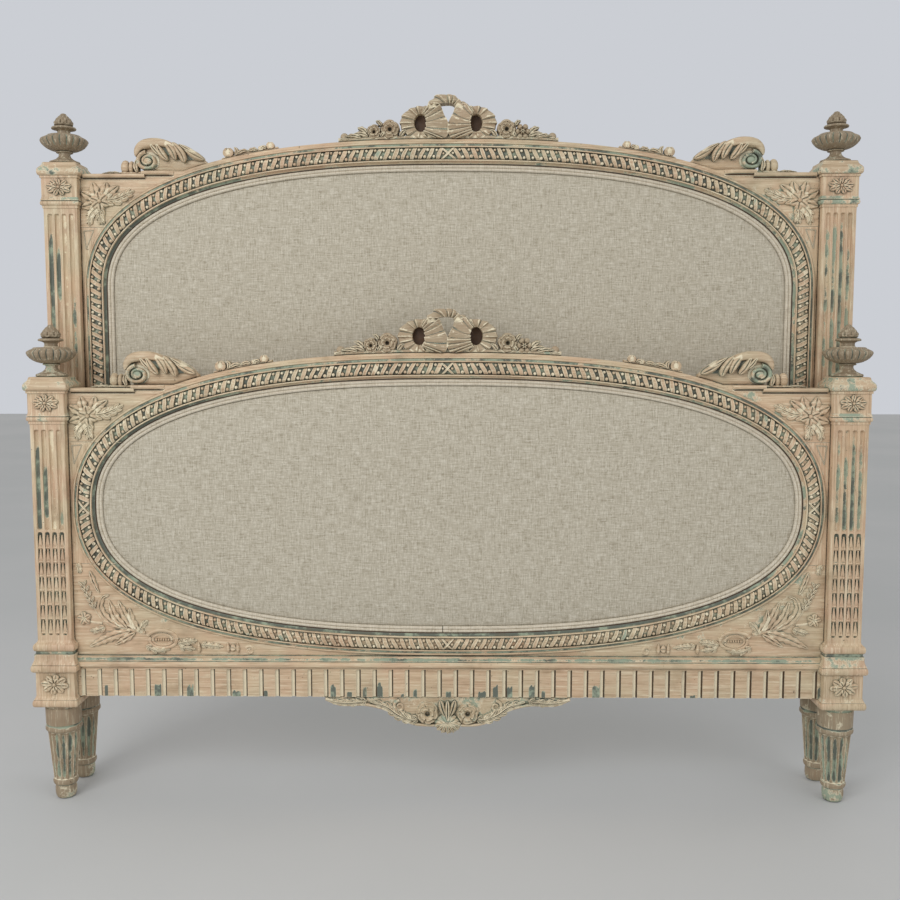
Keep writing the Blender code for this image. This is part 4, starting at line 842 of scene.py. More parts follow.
def paint(name, grain, warm, wear_and_highlight, green=0.0, grey=0.0):
    """Old peach paint over gesso and a green undercoat, bare on edges and ridges with a painted highlight
    there, and dark in hollows with dirt and painted shade.
    """
    n = Nodes(name)
    base = n.mix(n.ramp(n.noise(7.0, 5.0), 0.35, 0.65), BEIGE, PEACH)
    base = n.mix(n.ramp(n.noise(13.0, 4.0), 0.40, 0.65, 0.0, warm), base, PINK)
    lines = n.noise(1.0, 7.0, 0.64, grain)
    base = n.mix(n.ramp(lines, 0.50, 0.70, 0.0, 0.45), base, GRAIN)
    base = n.mix(n.ramp(lines, 0.46, 0.32, 0.0, 0.35), base, CREAM)
    # Grey over the paint: dust and tone, and on the legs a painted shade
    base = n.mix(grey, base, GREY_DUST_AND_SHADE)
    coat = n.node("ShaderNodeAttribute", attribute_name="green").outputs["Fac"]
    bare = n.math("MULTIPLY", coat, -1.0, True)
    old = n.math("ADD", coat, green, True)
    point = n.node("ShaderNodeNewGeometry").outputs["Pointiness"]
    # Thin edges and sharp ridges: where paint wears through and where a painted highlight goes
    thin = n.ramp(n.openness(EDGE_REACH, True), 0.86, 0.50)
    rim = n.math("MAXIMUM", thin, n.ramp(point, 0.55, 0.70, 0.0, 0.9))
    # Hollows and creases: where dirt and a painted shade gather
    narrow = n.ramp(n.openness(HOLLOW_REACH), 0.84, 0.36)
    deep = n.math("MAXIMUM", narrow, n.ramp(point, 0.47, 0.36, 0.0, 0.9))
    ragged = n.noise(75.0, 8.0, 0.70)
    scratch = n.noise(1.0, 5.0, 0.70, tuple(2.8 * g for g in grain))
    base = n.mix(n.ramp(scratch, 0.52, 0.64, 0.0, 0.45), base, SCRATCH)
    base = n.mix(n.ramp(scratch, 0.46, 0.36, 0.0, 0.50), base, CREAM)
    cloud = n.noise(24.0, 9.0, 0.70)
    amount = n.total((old, 0.46), (deep, 0.12), (cloud, 0.78), (ragged, 0.16))
    age = n.math("ADD", n.noise(30.0, 6.0, 0.65), n.math("MULTIPLY", old, 0.45))
    shade = n.mix(n.ramp(age, 0.80, 0.94), VERDIGRIS, SLATE)
    base = n.mix(n.ramp(amount, 0.735, 0.775, 0.0, 0.92), base, CREAM)
    base = n.mix(n.ramp(amount, 0.765, 0.80, 0.0, 0.94), base, shade)
    # Pale cream on edges and ridges: bare gesso and a painted highlight
    paled = n.total((rim, 0.48), (bare, 0.50), (ragged, 0.80))
    base = n.mix(n.ramp(paled, 0.74 - 0.10 * wear_and_highlight, 0.84 - 0.10 * wear_and_highlight, 0.0, 0.90), base, CREAM)
    base = n.mix(n.ramp(n.noise(18.0, 6.0), 0.52, 0.72, 0.0, 0.28), base, STAIN)
    # Dark brown in hollows: dirt and a painted shade
    grime_and_shade = n.math("MULTIPLY", n.math("POWER", deep, 1.3), n.ramp(ragged, 0.34, 0.60, 0.50, 0.94))
    spared = n.total((bare, 0.85), (old, 0.30), clamp=True)
    grime_and_shade = n.math("MULTIPLY", grime_and_shade, n.math("SUBTRACT", 1.0, spared, True))
    base = n.mix(grime_and_shade, base, DIRT_AND_SHADE)
    base = n.mix(n.ramp(n.noise(150.0, 3.0, 0.6), 0.70, 0.74, 0.0, 0.75), base, DIRT_AND_SHADE)
    # Dark brown where the coat is darkest: bare wood and painted shade
    base = n.mix(n.ramp(coat, 1.4, 1.9), base, n.mix(lines, BARE_WOOD_AND_SHADE, DARK_WOOD_AND_SHADE))
    n.link(base, n.shader.inputs["Base Color"])
    n.link(n.ramp(ragged, 0.3, 0.7, 0.46, 0.74), n.shader.inputs["Roughness"])
    n.shader.inputs["Specular IOR Level"].default_value = 0.42
    height = n.total((lines, 0.5), (ragged, 0.55))
    height = n.math("SUBTRACT", height, n.ramp(amount, 0.76, 0.79, 0.0, 0.5))
    n.bump(height, 0.0011)
    return n.mat


def cloth(name, light, mid, dark, pitch):
    """Plain woven linen with slubs in both directions."""
    n = Nodes(name)
    weave = []
    for axis in ("X", "Z"):
        wave = n.node("ShaderNodeTexWave", wave_type="BANDS", bands_direction=axis)
        n.tree.links.new(n.place((1, 1, 1)), wave.inputs["Vector"])
        wave.inputs["Scale"].default_value = 0.314 / pitch
        wave.inputs["Distortion"].default_value = 1.2
        wave.inputs["Detail"].default_value = 1.0
        weave.append(wave.outputs["Fac"])
    slub_x = n.noise(1.0, 4.0, 0.7, (40, 1, 430))
    slub_z = n.noise(1.0, 4.0, 0.7, (430, 1, 40))
    slub = n.total((slub_x, 0.5), (slub_z, 0.5))
    base = n.mix(n.ramp(slub, 0.50, 0.60, 0.0, 0.85), mid, light)
    base = n.mix(n.ramp(slub, 0.49, 0.40, 0.0, 0.75), base, dark)
    threads = n.math("MULTIPLY", n.math("ADD", weave[0], weave[1]), 0.5)
    base = n.mix(n.ramp(threads, 0.25, 0.80, 0.20, 0.0), base, dark)
    base = n.mix(n.ramp(n.noise(260.0, 2.0), 0.56, 0.66, 0.0, 0.45), base, light)
    n.link(base, n.shader.inputs["Base Color"])
    n.shader.inputs["Roughness"].default_value = 0.92
    n.shader.inputs["Specular IOR Level"].default_value = 0.15
    n.shader.inputs["Sheen Weight"].default_value = 0.15
    n.shader.inputs["Sheen Roughness"].default_value = 0.5
    n.bump(n.total((threads, 0.6), (slub, 0.7)), 0.0004)
    return n.mat


def iron(name):
    """Dark hand-worked iron with a little rust."""
    n = Nodes(name)
    rust = n.ramp(n.noise(60.0, 7.0, 0.65), 0.50, 0.66)
    n.link(n.mix(rust, IRON_GREY, RUST), n.shader.inputs["Base Color"])
    n.link(n.math("SUBTRACT", 0.85, rust, True), n.shader.inputs["Metallic"])
    n.link(n.ramp(rust, 0.0, 1.0, 0.45, 0.8), n.shader.inputs["Roughness"])
    n.bump(n.noise(140.0, 5.0), 0.0004)
    return n.mat


ALONG_X = (5, 60, 110)
ALONG_Z = (110, 60, 5)
RAIL_PAINT = paint("rail_paint", ALONG_X, 0.45, 0.5)
STILE_PAINT = paint("stile_paint", ALONG_Z, 0.6, 0.5)
POST_PAINT = paint("post_paint", ALONG_Z, 0.75, 0.55)
CAP_PAINT = paint("cap_paint", ALONG_X, 0.35, 0.6, 0.18, 0.10)
APRON_PAINT = paint("apron_paint", ALONG_X, 0.5, 0.45)
PENDANT_PAINT = paint("pendant_paint", ALONG_X, 0.25, 1.0, 0.36, 0.10)
CREST_PAINT = paint("crest_paint", ALONG_X, 0.20, 1.0, 0.05, 0.50)
CARVED_PAINT = paint("carved_paint", ALONG_X, 0.30, 0.7, 0.10, 0.10)
FINIAL_PAINT = paint("finial_paint", ALONG_Z, 0.20, 0.6, 0.16, 0.90)
# The legs' paint is greyed and darkened as a painted shade, for the shadow they stand in
LEG_PAINT = paint("leg_paint", ALONG_Z, 0.35, 0.7, 0.25, 0.78)
LINEN_CLOTH = cloth("linen_cloth", *LINEN, 0.0013)
LIT_WELT_CLOTH = cloth("lit_welt_cloth", *LIT_WELT_LINEN, 0.0011)
IRON = iron("iron_plate")
MATERIALS = {"post": POST_PAINT, "leg": LEG_PAINT, "cap": CAP_PAINT, "finial": FINIAL_PAINT,
             "scroll": CARVED_PAINT, "spray": CARVED_PAINT, "cornice": RAIL_PAINT}


# Boards
def board_frame(board):
    """Top rail, stiles and bottom rail of a board, each with its share of ribbon and carving."""
    body = frame_body(board)
    lower = -LOWER_JOINT if board == "foot" else HEAD_JOINT_Z - OVAL_Z[board]
    gap = JOINT_GAP * MM
    parts = {"top_rail": [((0, 0, UPPER_JOINT + gap), (0, 0, -1))],
             "bottom_rail": [((0, 0, lower - gap), (0, 0, 1))]}
    for side, way in (("right", -1), ("left", 1)):
        parts["stile_" + side] = [((0, 0, UPPER_JOINT - gap), (0, 0, 1)), ((0, 0, lower + gap), (0, 0, -1)),
                                  ((0, 0, 0), (way, 0, 0))]
    extra = {kind: Shells() for kind in parts}
    for unit in ribbon_units(board) + board_relief(board):
        centre = unit.points[0].mean(0)
        kind = "stile_right" if centre[0] > 0 else "stile_left"
        if centre[2] > UPPER_JOINT:
            kind = "top_rail"
        elif centre[2] < lower:
            kind = "bottom_rail"
        extra[kind].take(unit)
    for kind, planes in parts.items():
        name = "%s_carved_%s" % (board, kind)
        plain = saw(mesh_of(name + "_body", body), planes)
        merged = bpy.data.meshes.new(name)
        work = bmesh.new()
        work.from_mesh(plain)
        if extra[kind].count:
            work.from_mesh(mesh_of(name + "_carving", extra[kind]))
        bmesh.ops.translate(work, verts=work.verts[:], vec=(0, PLANE_Y[board], OVAL_Z[board]))
        work.to_mesh(merged)
        work.free()
        mat = STILE_PAINT if "stile" in kind else RAIL_PAINT
        show(name, None, board, "%s_%s" % (board, kind), mat, merged)


def board_relief(board):
    """Carved leaves and flowers on the flat corners of a frame."""
    made = []
    for carve in (spandrel, corner_field, corner_branch)[:3 if board == "foot" else 2]:
        shells = Shells()
        carve(shells, FACE_Y * MM)
        for flip in (False, True):
            made.append(Shells())
            made[-1].take(shells, flip)
    return made


def spandrel(shells, y0):
    """Flower and leaves in an upper corner, right side, about the middle of the oval."""
    fx = 0.7270
    fz = 0.1860
    for points, width, pairs in (
            (((-0.010, 0.002), (-0.038, 0.006), (-0.072, 0.022)), 0.0140, 4),
            (((0.006, -0.012), (0.020, -0.028), (0.024, -0.050)), 0.0110, 3),
            (((-0.002, -0.014), (0.000, -0.028), (-0.003, -0.047)), 0.0110, 3)):
        acanthus(shells, [(fx + x, fz + z) for x, z in points], width, 0.0066, y0, pairs)
    for points, width in (
            (((-0.040, 0.032), (-0.020, 0.018), (0, 0)), 0.0098),
            (((-0.015, 0.039), (-0.010, 0.020), (0, 0)), 0.0112),
            (((0.014, 0.039), (0.010, 0.019), (0, 0)), 0.0112),
            (((0.039, 0.020), (0.019, 0.010), (0, 0)), 0.0110),
            (((0.039, -0.012), (0.018, -0.006), (0, 0)), 0.0104),
            (((0.026, -0.036), (0.012, -0.018), (0, 0)), 0.0096)):
        leaf(shells, [(fx + x, fz + z) for x, z in points], width, 0.0066, y0, 3, cols=11, vein=0.50)
    for k in range(6):
        a = math.radians(60 * k + 20)
        ends = [(fx + r * math.cos(a), fz + r * math.sin(a)) for r in (0.0205, 0.0020)]
        leaf(shells, ends, 0.0084, 0.0096, y0, curl=-0.3, rows=14, cols=9, vein=0.42)
    ball(shells, (fx, y0 - 0.0066, fz), (0.0046, 0.0042, 0.0046), 12, 8)


def corner_field(shells, y0):
    """Raised border of the small three-cornered field below the spandrel, right side."""
    corners = [(0.7634, 0.1255), (0.7425, 0.1270), (0.7596, 0.0880)]
    for a, b in zip(corners, corners[1:] + corners[:1]):
        stem(shells, [a, b], 0.0013, 0.0013, y0, 1.3, 8, 6, 0.82 * WOOD_AND_SHADE_COAT)


def corner_branch(shells, y0):
    """Branch of leaves with a scroll in a lower corner of the footboard, right side."""
    base = -OVAL_Z["foot"]
    h = 0.0062

    def at(points):
        return [(x, base + z) for x, z in points]

    twig = ((0.624, 0.357), (0.658, 0.364), (0.701, 0.3765), (0.723, 0.402), (0.739, 0.431), (0.751, 0.462))
    stem(shells, at(twig), 0.0042, 0.0016, y0, 0.9, 8, 60)
    for k in range(5):
        x = 0.728 + 0.0052 * k
        z = 0.408 + 0.0115 * k
        leaf(shells, at(((x, z), (x + 0.010, z + 0.009))), 0.0030, h * 0.8, y0)
        leaf(shells, at(((x - 0.002, z + 0.002), (x - 0.006, z + 0.013))), 0.0028, h * 0.8, y0)
    for points, width, lobes in (
            (((0.672, 0.367), (0.700, 0.384), (0.715, 0.408), (0.709, 0.430), (0.696, 0.436)), 0.0100, 5),
            (((0.660, 0.366), (0.684, 0.390), (0.697, 0.426)), 0.0100, 4),
            (((0.644, 0.363), (0.663, 0.392), (0.677, 0.424)), 0.0100, 4),
            (((0.636, 0.361), (0.650, 0.382), (0.654, 0.408)), 0.0092, 3),
            (((0.654, 0.361), (0.694, 0.349), (0.738, 0.328)), 0.0120, 6),
            (((0.644, 0.357), (0.664, 0.345), (0.686, 0.332)), 0.0082, 3),
            (((0.734, 0.486), (0.727, 0.464), (0.716, 0.440)), 0.0064, 3)):
        leaf(shells, at(points), width, h, y0, lobes, rows=36, cols=13, vein=0.45)
    for points, width, pairs, tall in (
            (((0.706, 0.368), (0.722, 0.362), (0.738, 0.361)), 0.0090, 2, 0.95),
            (((0.758, 0.502), (0.756, 0.492), (0.754, 0.480)), 0.0070, 2, 0.8),
            (((0.636, 0.358), (0.628, 0.372), (0.617, 0.383)), 0.0080, 2, 0.9),
            (((0.556, 0.334), (0.538, 0.338), (0.516, 0.341)), 0.0090, 3, 0.9),
            (((0.552, 0.326), (0.536, 0.325), (0.520, 0.322)), 0.0075, 2, 0.9),
            (((0.508, 0.332), (0.488, 0.331), (0.462, 0.328)), 0.0080, 3, 0.9)):
        acanthus(shells, at(points), width, h * tall, y0, pairs)
    for turn in range(5):
        a = math.radians(72 * turn + 10)
        tip = (0.748 + 0.0145 * math.cos(a), 0.387 + 0.0145 * math.sin(a))
        leaf(shells, at((tip, (0.748, 0.387))), 0.0062, h * 1.1, y0, curl=-0.3, rows=10, cols=7)
    stem(shells, at(((0.712, 0.376), (0.728, 0.378), (0.742, 0.381))), 0.0026, 0.0020, y0)
    hub = (0.588, base + 0.3425)
    outer = spiral(hub, 0.0335, 0.0255, math.radians(25), 0.98, 50) * (1, 0.62) + (0, hub[1] * 0.38)
    inner = spiral(hub, 0.0215, 0.0190, math.radians(200), 0.96, 40) * (1, 0.58) + (0, hub[1] * 0.42)
    stem(shells, outer, 0.0046, 0.0036, y0, 1.1, 8, 60)
    stem(shells, inner, 0.0030, 0.0026, y0, 1.0, 8, 50)
    for k in range(6):
        ball(shells, (0.5755 + 0.0050 * k, y0 - 0.0015, hub[1]), (0.0024, 0.0034, 0.0030), 8, 6)
    acanthus(shells, at(((0.622, 0.330), (0.600, 0.320), (0.572, 0.322))), 0.0080, h, y0, 3)
    for x in (0.512, 0.452, 0.432):
        bar = at(((x, 0.3155), (x + 0.001, 0.337)))
        leaf(shells, bar, 0.0040, h, y0, green=0.1, rows=10, cols=7, vein=0.0)
    leaf(shells, at(((0.448, 0.326), (0.436, 0.325))), 0.0090, h * 0.8, y0)
    tail = spiral((0.408, base + 0.3200), 0.0095, 0.0025, 0.6, 1.2, 24)
    stem(shells, tail, 0.0032, 0.0022, y0, 1.0, 8, 30, 0.4)


# Posts, caps, finials and legs
def arc(z0, z1, base, out, n=7):
    """Levels of a rounded moulding between two heights."""
    a = np.linspace(-math.pi / 2, math.pi / 2, n)
    return [((z0 + z1) / 2 + (z1 - z0) / 2 * math.sin(t), base + out * math.cos(t)) for t in a]


def hollow_out(z0, z1, half0, half1, n=5):
    """Levels of a hollow moulding from one half width to another."""
    u = np.linspace(0, 1, n)
    return [(z0 + (z1 - z0) * t, half1 + (half0 - half1) * (1 - math.sin(t * math.pi / 2))) for t in u]


def coated(levels, green):
    """Levels of a moulding with one coat on all of them."""
    return [(z, half, green) for z, half in levels]


def post_profile(board):
    """Levels of a post as height, half width and old green, and the two ends of its shaft."""
    block, upper, shaft = BLOCK_HALF, HEAD_BLOCK_HALF, SHAFT_HALF
    z = POST_LOW[board]
    levels = coated(arc(z, z + 0.0150, block + 0.0030, 0.0035), 0.25)
    levels += coated(hollow_out(z + 0.0155, z + 0.0225, block + 0.0040, block + 0.0008), 0.45)
    z += 0.0230
    levels += [(z, block, 0.05), (z + 0.0495, block, 0.05)]
    z += 0.0500
    levels += [(z, block + 0.0035, 0.3)]
    levels += coated(arc(z + 0.0005, z + 0.0150, block + 0.0045, 0.0030), 0.35)
    levels += coated(hollow_out(z + 0.0160, z + 0.0300, block + 0.0055, block + 0.0010, 6), 0.45)
    levels += [(z + 0.0305, block + 0.0010, 0.5), (z + 0.0370, block + 0.0010, 0.6)]
    z += 0.0375
    levels += [(z, shaft + 0.0035, 0.8), (z + 0.0055, shaft + 0.0035, 0.75)]
    levels += coated(arc(z + 0.0060, z + 0.0215, shaft + 0.0040, 0.0040), 0.35)
    bottom = z + 0.0275
    levels += coated(hollow_out(z + 0.0220, bottom, shaft + 0.0040, shaft + 0.0004), 0.4)
    top = CAP_LOW[board] - CLEAR * MM
    head = top - 0.0665
    above = [(head, shaft + 0.0004, 0.1)]
    above += coated([(head + 0.0004, shaft + 0.0020), (head + 0.0050, shaft + 0.0020)], 0.2)
    above += coated(arc(head + 0.0055, head + 0.0155, shaft + 0.0020, 0.0035), 0.5)
    above += coated(hollow_out(head + 0.0160, head + 0.0225, shaft + 0.0050, upper + 0.0003), 0.55)
    z = head + 0.0230
    above += [(z, upper, 0.05), (z + 0.0385, upper, 0.05)]
    above += [(z + 0.0390, upper + 0.0022, 0.1), (top, upper + 0.0022, 0.15)]
    return levels, above, bottom, head


def shaft_depth(dx, z, z0, z1):
    """How deep a flute is, across it and along it, with round ends."""
    end = np.minimum(np.clip((z - z0) / FLUTE_HALF, 0, 1), np.clip((z1 - z) / FLUTE_HALF, 0, 1))
    return FLUTE_DEPTH * dome((dx / FLUTE_HALF) ** 2 + (1 - end) ** 2)


def husk_rise(dx, z, z0, z1):
    """Chain of carved husks that fills the lower part of a flute."""
    step = (z1 - z0) / HUSKS
    w = np.mod(z - z0, step) / step
    half = FLUTE_HALF * (0.95 - 0.60 * np.clip((w - 0.18) / 0.82, 0, 1) ** 1.3)
    ends = np.clip(np.minimum(w / 0.08, (1 - w) / 0.05), 0, 1) ** 0.5
    body = dome((dx / half) ** 2)
    notch = 1 - 0.45 * np.exp(-((w - 0.22) / 0.05) ** 2)
    inside = (z > z0) & (z < z1)
    return FLUTE_DEPTH * 1.12 * body * ends * notch * inside


# Cosine and sine of the four quarter turns
QUARTERS = ((1, 0), (0, 1), (-1, 0), (0, -1))


def corner(r, cut):
    """Three points that take off one corner of a square that reaches from -1 to 1."""
    return [(-1, r - 1), (cut * r - 1, cut * r - 1), (r - 1, -1)]


def post(board, old_green, wear, paled):
    """Fluted square post about its own axis, with rosettes in its blocks."""
    below, above, bottom, head = post_profile(board)
    lo = bottom + FLUTE_END
    hi = head - FLUTE_END
    split = lo + STOPPED_H
    open_lo = split + 0.004
    ease = FLUTE_HALF * (1 - np.cos(np.linspace(0.05, math.pi / 2, 6)))
    rows = [np.linspace(bottom + 0.0005, lo - 0.0005, 3), lo + ease]
    rows += [np.linspace(lo + FLUTE_HALF, split - FLUTE_HALF, HUSKS * 12)[1:], split - ease[-2::-1]]
    rows += [open_lo + ease, np.linspace(split + 0.012, hi - FLUTE_HALF - 0.002, 26), hi - ease[::-1]]
    levels = below + [(z, SHAFT_HALF, 0.06) for z in np.concatenate(rows)] + above
    z, half, tint = np.array(levels).T
    fluted = []
    for k in range(FLUTES):
        mid = (k - (FLUTES - 1) / 2) * FLUTE_PITCH
        fluted += list(mid + FLUTE_HALF * np.sin(np.linspace(-math.pi / 2, math.pi / 2, 13)))
        fluted += [mid - FLUTE_HALF - 0.0008, mid + FLUTE_HALF + 0.0008]
    plain = [-0.015, 0.0, 0.015]
    in_shaft = (z > bottom) & (z < head)
    drip = 0.9 * np.exp(-((hi - z) / 0.035) ** 2) + 0.5 * np.exp(-((split - z) / 0.012) ** 2)
    columns = []
    tints = []
    for turn, (c, s) in enumerate(QUARTERS):
        strip = [(u * half, v * half, 0.0 * z, 0.0) for u, v in corner(CORNER_R / SHAFT_HALF, 0.29)]
        for place in sorted(fluted) if turn < 2 else plain:
            which = min(max(int(math.floor(place / FLUTE_PITCH)) + FLUTES // 2, 0), FLUTES - 1)
            mark, below_head, reach = wear[which]
            streak = mark * np.clip(1.5 - 1.5 * ((hi - z - below_head) / reach) ** 2, 0, 1)
            dx = place - FLUTE_PITCH * (np.round(place / FLUTE_PITCH + 0.5) - 0.5)
            if turn == 0:
                depth = shaft_depth(dx, z, open_lo, hi) + shaft_depth(dx, z, lo, split)
                depth = depth - husk_rise(dx, z, lo + 0.002, split - 0.006)
            elif turn == 1:
                depth = shaft_depth(dx, z, lo, hi)
            else:
                depth = 0.0 * z
            depth = np.where(in_shaft, depth, 0.0)
            strip.append((place / SHAFT_HALF * half, -half + depth, depth, streak))
        stopped = (z > lo) & (z < split) & (turn == 0)
        for x, y, depth, streak in strip:
            columns.append(np.stack([c * x - s * y, s * x + c * y, z], -1))
            coat = np.where(stopped, old_green + 0.60, 0.6 * old_green + streak - paled * drip)
            tints.append(tint + np.clip(depth / FLUTE_DEPTH, 0, 1) * coat * in_shaft)
    shells = Shells()
    tube_grid(shells, np.stack(columns, 1), np.stack(tints, 1).ravel())
    rosette(shells, (0, head + 0.0425), (0.0265, 0.0170), 9, 0.0085, -HEAD_BLOCK_HALF, LEAF_SINK, 0.3)
    if board == "foot":
        low_rose = POST_LOW["foot"] + 0.0480
        rosette(shells, (0, low_rose), (0.0285, 0.0210), 8, 0.0095, -BLOCK_HALF, LEAF_SINK, -0.1)
    return shells


def cap(board):
    """Moulded cap of a post with a sloping top."""
    h = CAP_HIGH[board] - CAP_LOW[board]
    w = CAP_HALF
    levels = [(0.0, w * 0.93, 0.2), (0.0008, w * 0.955, 0.3)]
    levels += coated(arc(0.0012, h * 0.52, w * 0.955, w * 0.045, 9), 0.35)
    levels += [(h * 0.55, w * 0.95, 0.3)]
    levels += coated(hollow_out(h * 0.57, h * 0.92, w * 0.94, w * 0.80, 6), 0.35)
    levels += [(h * 0.97, w * 0.785, 0.2), (h, w * 0.76, 0.2)]
    square = corner(0.06, 0.3) + [(0, -1)]
    ring = np.array([(c * u - s * v, s * u + c * v) for c, s in QUARTERS for u, v in square])
    rings = [np.column_stack([ring * half, np.full(len(ring), z)]) for z, half, green in levels]
    shells = Shells()
    tube_grid(shells, np.array(rings), np.repeat([green for z, half, green in levels], len(ring)))
    return shells


def finial():
    """Gadrooned urn with a flame bud, standing on z = 0."""
    shells = Shells()
    foot = [(0.0300, 0.0), (0.0315, 0.0025), (0.0305, 0.0050), (0.0260, 0.0065), (0.0185, 0.0100),
            (0.0130, 0.0150), (0.0114, 0.0195), (0.0124, 0.0225), (0.0168, 0.0235), (0.0175, 0.0250),
            (0.0160, 0.0265), (0.0100, 0.0270)]
    lathe(shells, foot, 40, green=0.35)
    bowl = [(0.0120, 0.0262), (0.0200, 0.0270), (0.0285, 0.0292), (0.0360, 0.0328), (0.0420, 0.0372),
            (0.0462, 0.0422), (0.0484, 0.0468), (0.0480, 0.0498), (0.0452, 0.0522), (0.0405, 0.0545),
            (0.0360, 0.0566), (0.0345, 0.0580), (0.0330, 0.0590), (0.0280, 0.0594), (0.0150, 0.0594)]

    def gadroon(turn, k):
        if k > 9:
            return np.ones_like(turn)
        return 1 - min(k / 5, 1.0) * 0.085 * (1 - np.abs(np.cos(10 * turn)) ** 0.7)

    # Dark brown in the grooves of the gadroons: painted shade
    groove = np.abs(np.cos(10 * around(160))) < 0.3
    rows = np.arange(len(bowl))
    coat = np.outer((rows > 3) & (rows < 10), 0.85 * WOOD_AND_SHADE_COAT * groove)
    lathe(shells, bowl, 160, gadroon, coat)
    neck = [(0.0165, 0.0588), (0.0138, 0.0608), (0.0126, 0.0640), (0.0132, 0.0680), (0.0172, 0.0704),
            (0.0242, 0.0720), (0.0252, 0.0738), (0.0236, 0.0760), (0.0190, 0.0773), (0.0120, 0.0780)]
    lathe(shells, neck, 40, green=0.2)
    bud = [(0.0150, 0.0770), (0.0184, 0.0790), (0.0200, 0.0815), (0.0192, 0.0836), (0.0198, 0.0856),
           (0.0184, 0.0882), (0.0168, 0.0902), (0.0164, 0.0920), (0.0140, 0.0945), (0.0116, 0.0965),
           (0.0104, 0.0982), (0.0078, 0.1002), (0.0064, 0.1016), (0.0058, 0.1030), (0.0036, 0.1044),
           (0.0010, 0.1050)]

    def scales(turn, k):
        shift = 0.5 * math.pi * ((k // 3) % 2)
        return 1 - 0.20 * (1 - np.abs(np.cos(4 * turn + shift)) ** 0.6)

    lathe(shells, bud, 72, scales, 0.15)
    return shells


def leg():
    """Turned leg with a fluted taper."""
    high = POST_LOW["foot"] - CLEAR * MM
    shells = Shells()
    foot = [(0.0140, 0.0), (0.0180, 0.0015), (0.0205, 0.0070), (0.0216, 0.0140), (0.0216, 0.0220),
            (0.0206, 0.0285), (0.0204, 0.0300), (0.0238, 0.0315), (0.0252, 0.0350), (0.0254, 0.0385),
            (0.0242, 0.0420), (0.0220, 0.0432)]
    lathe(shells, foot, 48, green=[0.3] * 6 + [0.9, 0.3, 0.0, 0.0, 0.2, 0.6])
    z0 = 0.0425
    z1 = high - 0.0590
    share = np.array([0.0, 0.02, 0.05, 0.08, 0.12, 0.20, 0.40, 0.60, 0.80, 0.88, 0.92, 0.95, 0.98, 1.0])
    taper = [(0.0234 + (0.0325 - 0.0234) * u, z0 + (z1 - z0) * u) for u in share]
    ends = np.clip(np.minimum(share, 1 - share) / 0.10, 0, 1)

    def flutes(turn, k):
        return 1 - 0.22 * math.sqrt(1 - (1 - ends[k]) ** 2) * np.abs(np.sin(6 * turn)) ** 1.3

    groove = np.abs(np.sin(6 * around(144)))
    lathe(shells, taper, 144, flutes, np.outer(0.3 + 0.5 * ends, groove) - 0.15)
    top = [(0.0310, z1 - 0.0010), (0.0342, z1 + 0.0005), (0.0366, z1 + 0.0035), (0.0370, z1 + 0.0070),
           (0.0360, z1 + 0.0105), (0.0340, z1 + 0.0125), (0.0340, z1 + 0.0145), (0.0354, z1 + 0.0155),
           (0.0362, high - 0.0100), (0.0358, high - 0.0085), (0.0342, high - 0.0080), (0.0342, high)]
    lathe(shells, top, 48, green=[0.5, 0.3, 0.1, 0.1, 0.3, 0.6, 0.6, 0.2, 0.1, 0.2, 0.4, 0.3])
    return shells


# Carved crest, scrolls, sprays and cornice
CARVING_BACK = 0.0100
CARVING_FRONT = -0.0160


def round_edge(a):
    return np.ones_like(a)


def level(share, a):
    return 0.0 * share


def pleat(phase):
    """Depth of a row of pleats: a slow fall from each ridge and a short rise to the next one."""
    share = np.mod(phase, 1.0)
    return np.where(share < 0.78, share / 0.78, (1 - share) / 0.22)


def pleat_coat(fold):
    """Coat across a pleat: bare and pale on its ridge with a painted highlight, darkening down its slope as
    painted shade, and dark brown painted shade in its crease.
    """
    return np.where(fold > 0.94, 0.82 * WOOD_AND_SHADE_COAT, 0.80 * fold - 0.62)


def bow_loop(shells, side, top):
    """One pleated loop of the ribbon bow, as a ring with radial folds."""
    n = 210
    pleats = 14
    a = around(n)
    cx = side * 0.0540
    hx = side * 0.0570
    inner = np.stack([hx + 0.0130 * np.cos(a), top + 0.0330 + 0.0175 * np.sin(a)], -1)
    outer = np.stack([cx + 0.0475 * np.cos(a), top + 0.0335 + 0.0345 * np.sin(a)], -1)
    fold = pleat(side * (pleats * a + 0.9 * np.sin(4 * a + side)) / (2 * math.pi))
    outer = outer + (inner - outer) * (0.09 * fold)[:, None]
    outer[:, 1] = np.maximum(outer[:, 1], top + 0.0012)
    rings = []
    swell = ((0.0, -0.4), (0.06, 0.25), (0.25, 0.62), (0.5, 0.92), (0.75, 1.0), (0.94, 0.65), (1.0, -0.2))
    for u, depth in swell:
        lift = 0.0090 * depth - 0.0052 * fold * max(depth, 0.0)
        rings.append(flat_ring(inner + (outer - inner) * u, CARVING_FRONT + 0.004 - lift))
    for u, y in ((0.97, CARVING_BACK - 0.003), (0.5, CARVING_BACK), (0.03, CARVING_BACK - 0.003)):
        rings.append(flat_ring(inner + (outer - inner) * u, y))
    rings = np.array(rings)
    shells.add(rings, grid_faces(len(rings), n, True, True), np.tile(pleat_coat(fold), len(rings)))
    # A dark brown disc behind the loop's hole: painted shade in the hole
    medallion(shells, (hx, top + 0.0330), (0.0165, 0.0210), round_edge, level, 0.0020, CARVING_BACK - 0.001,
              24, 4, WOOD_AND_SHADE_COAT)


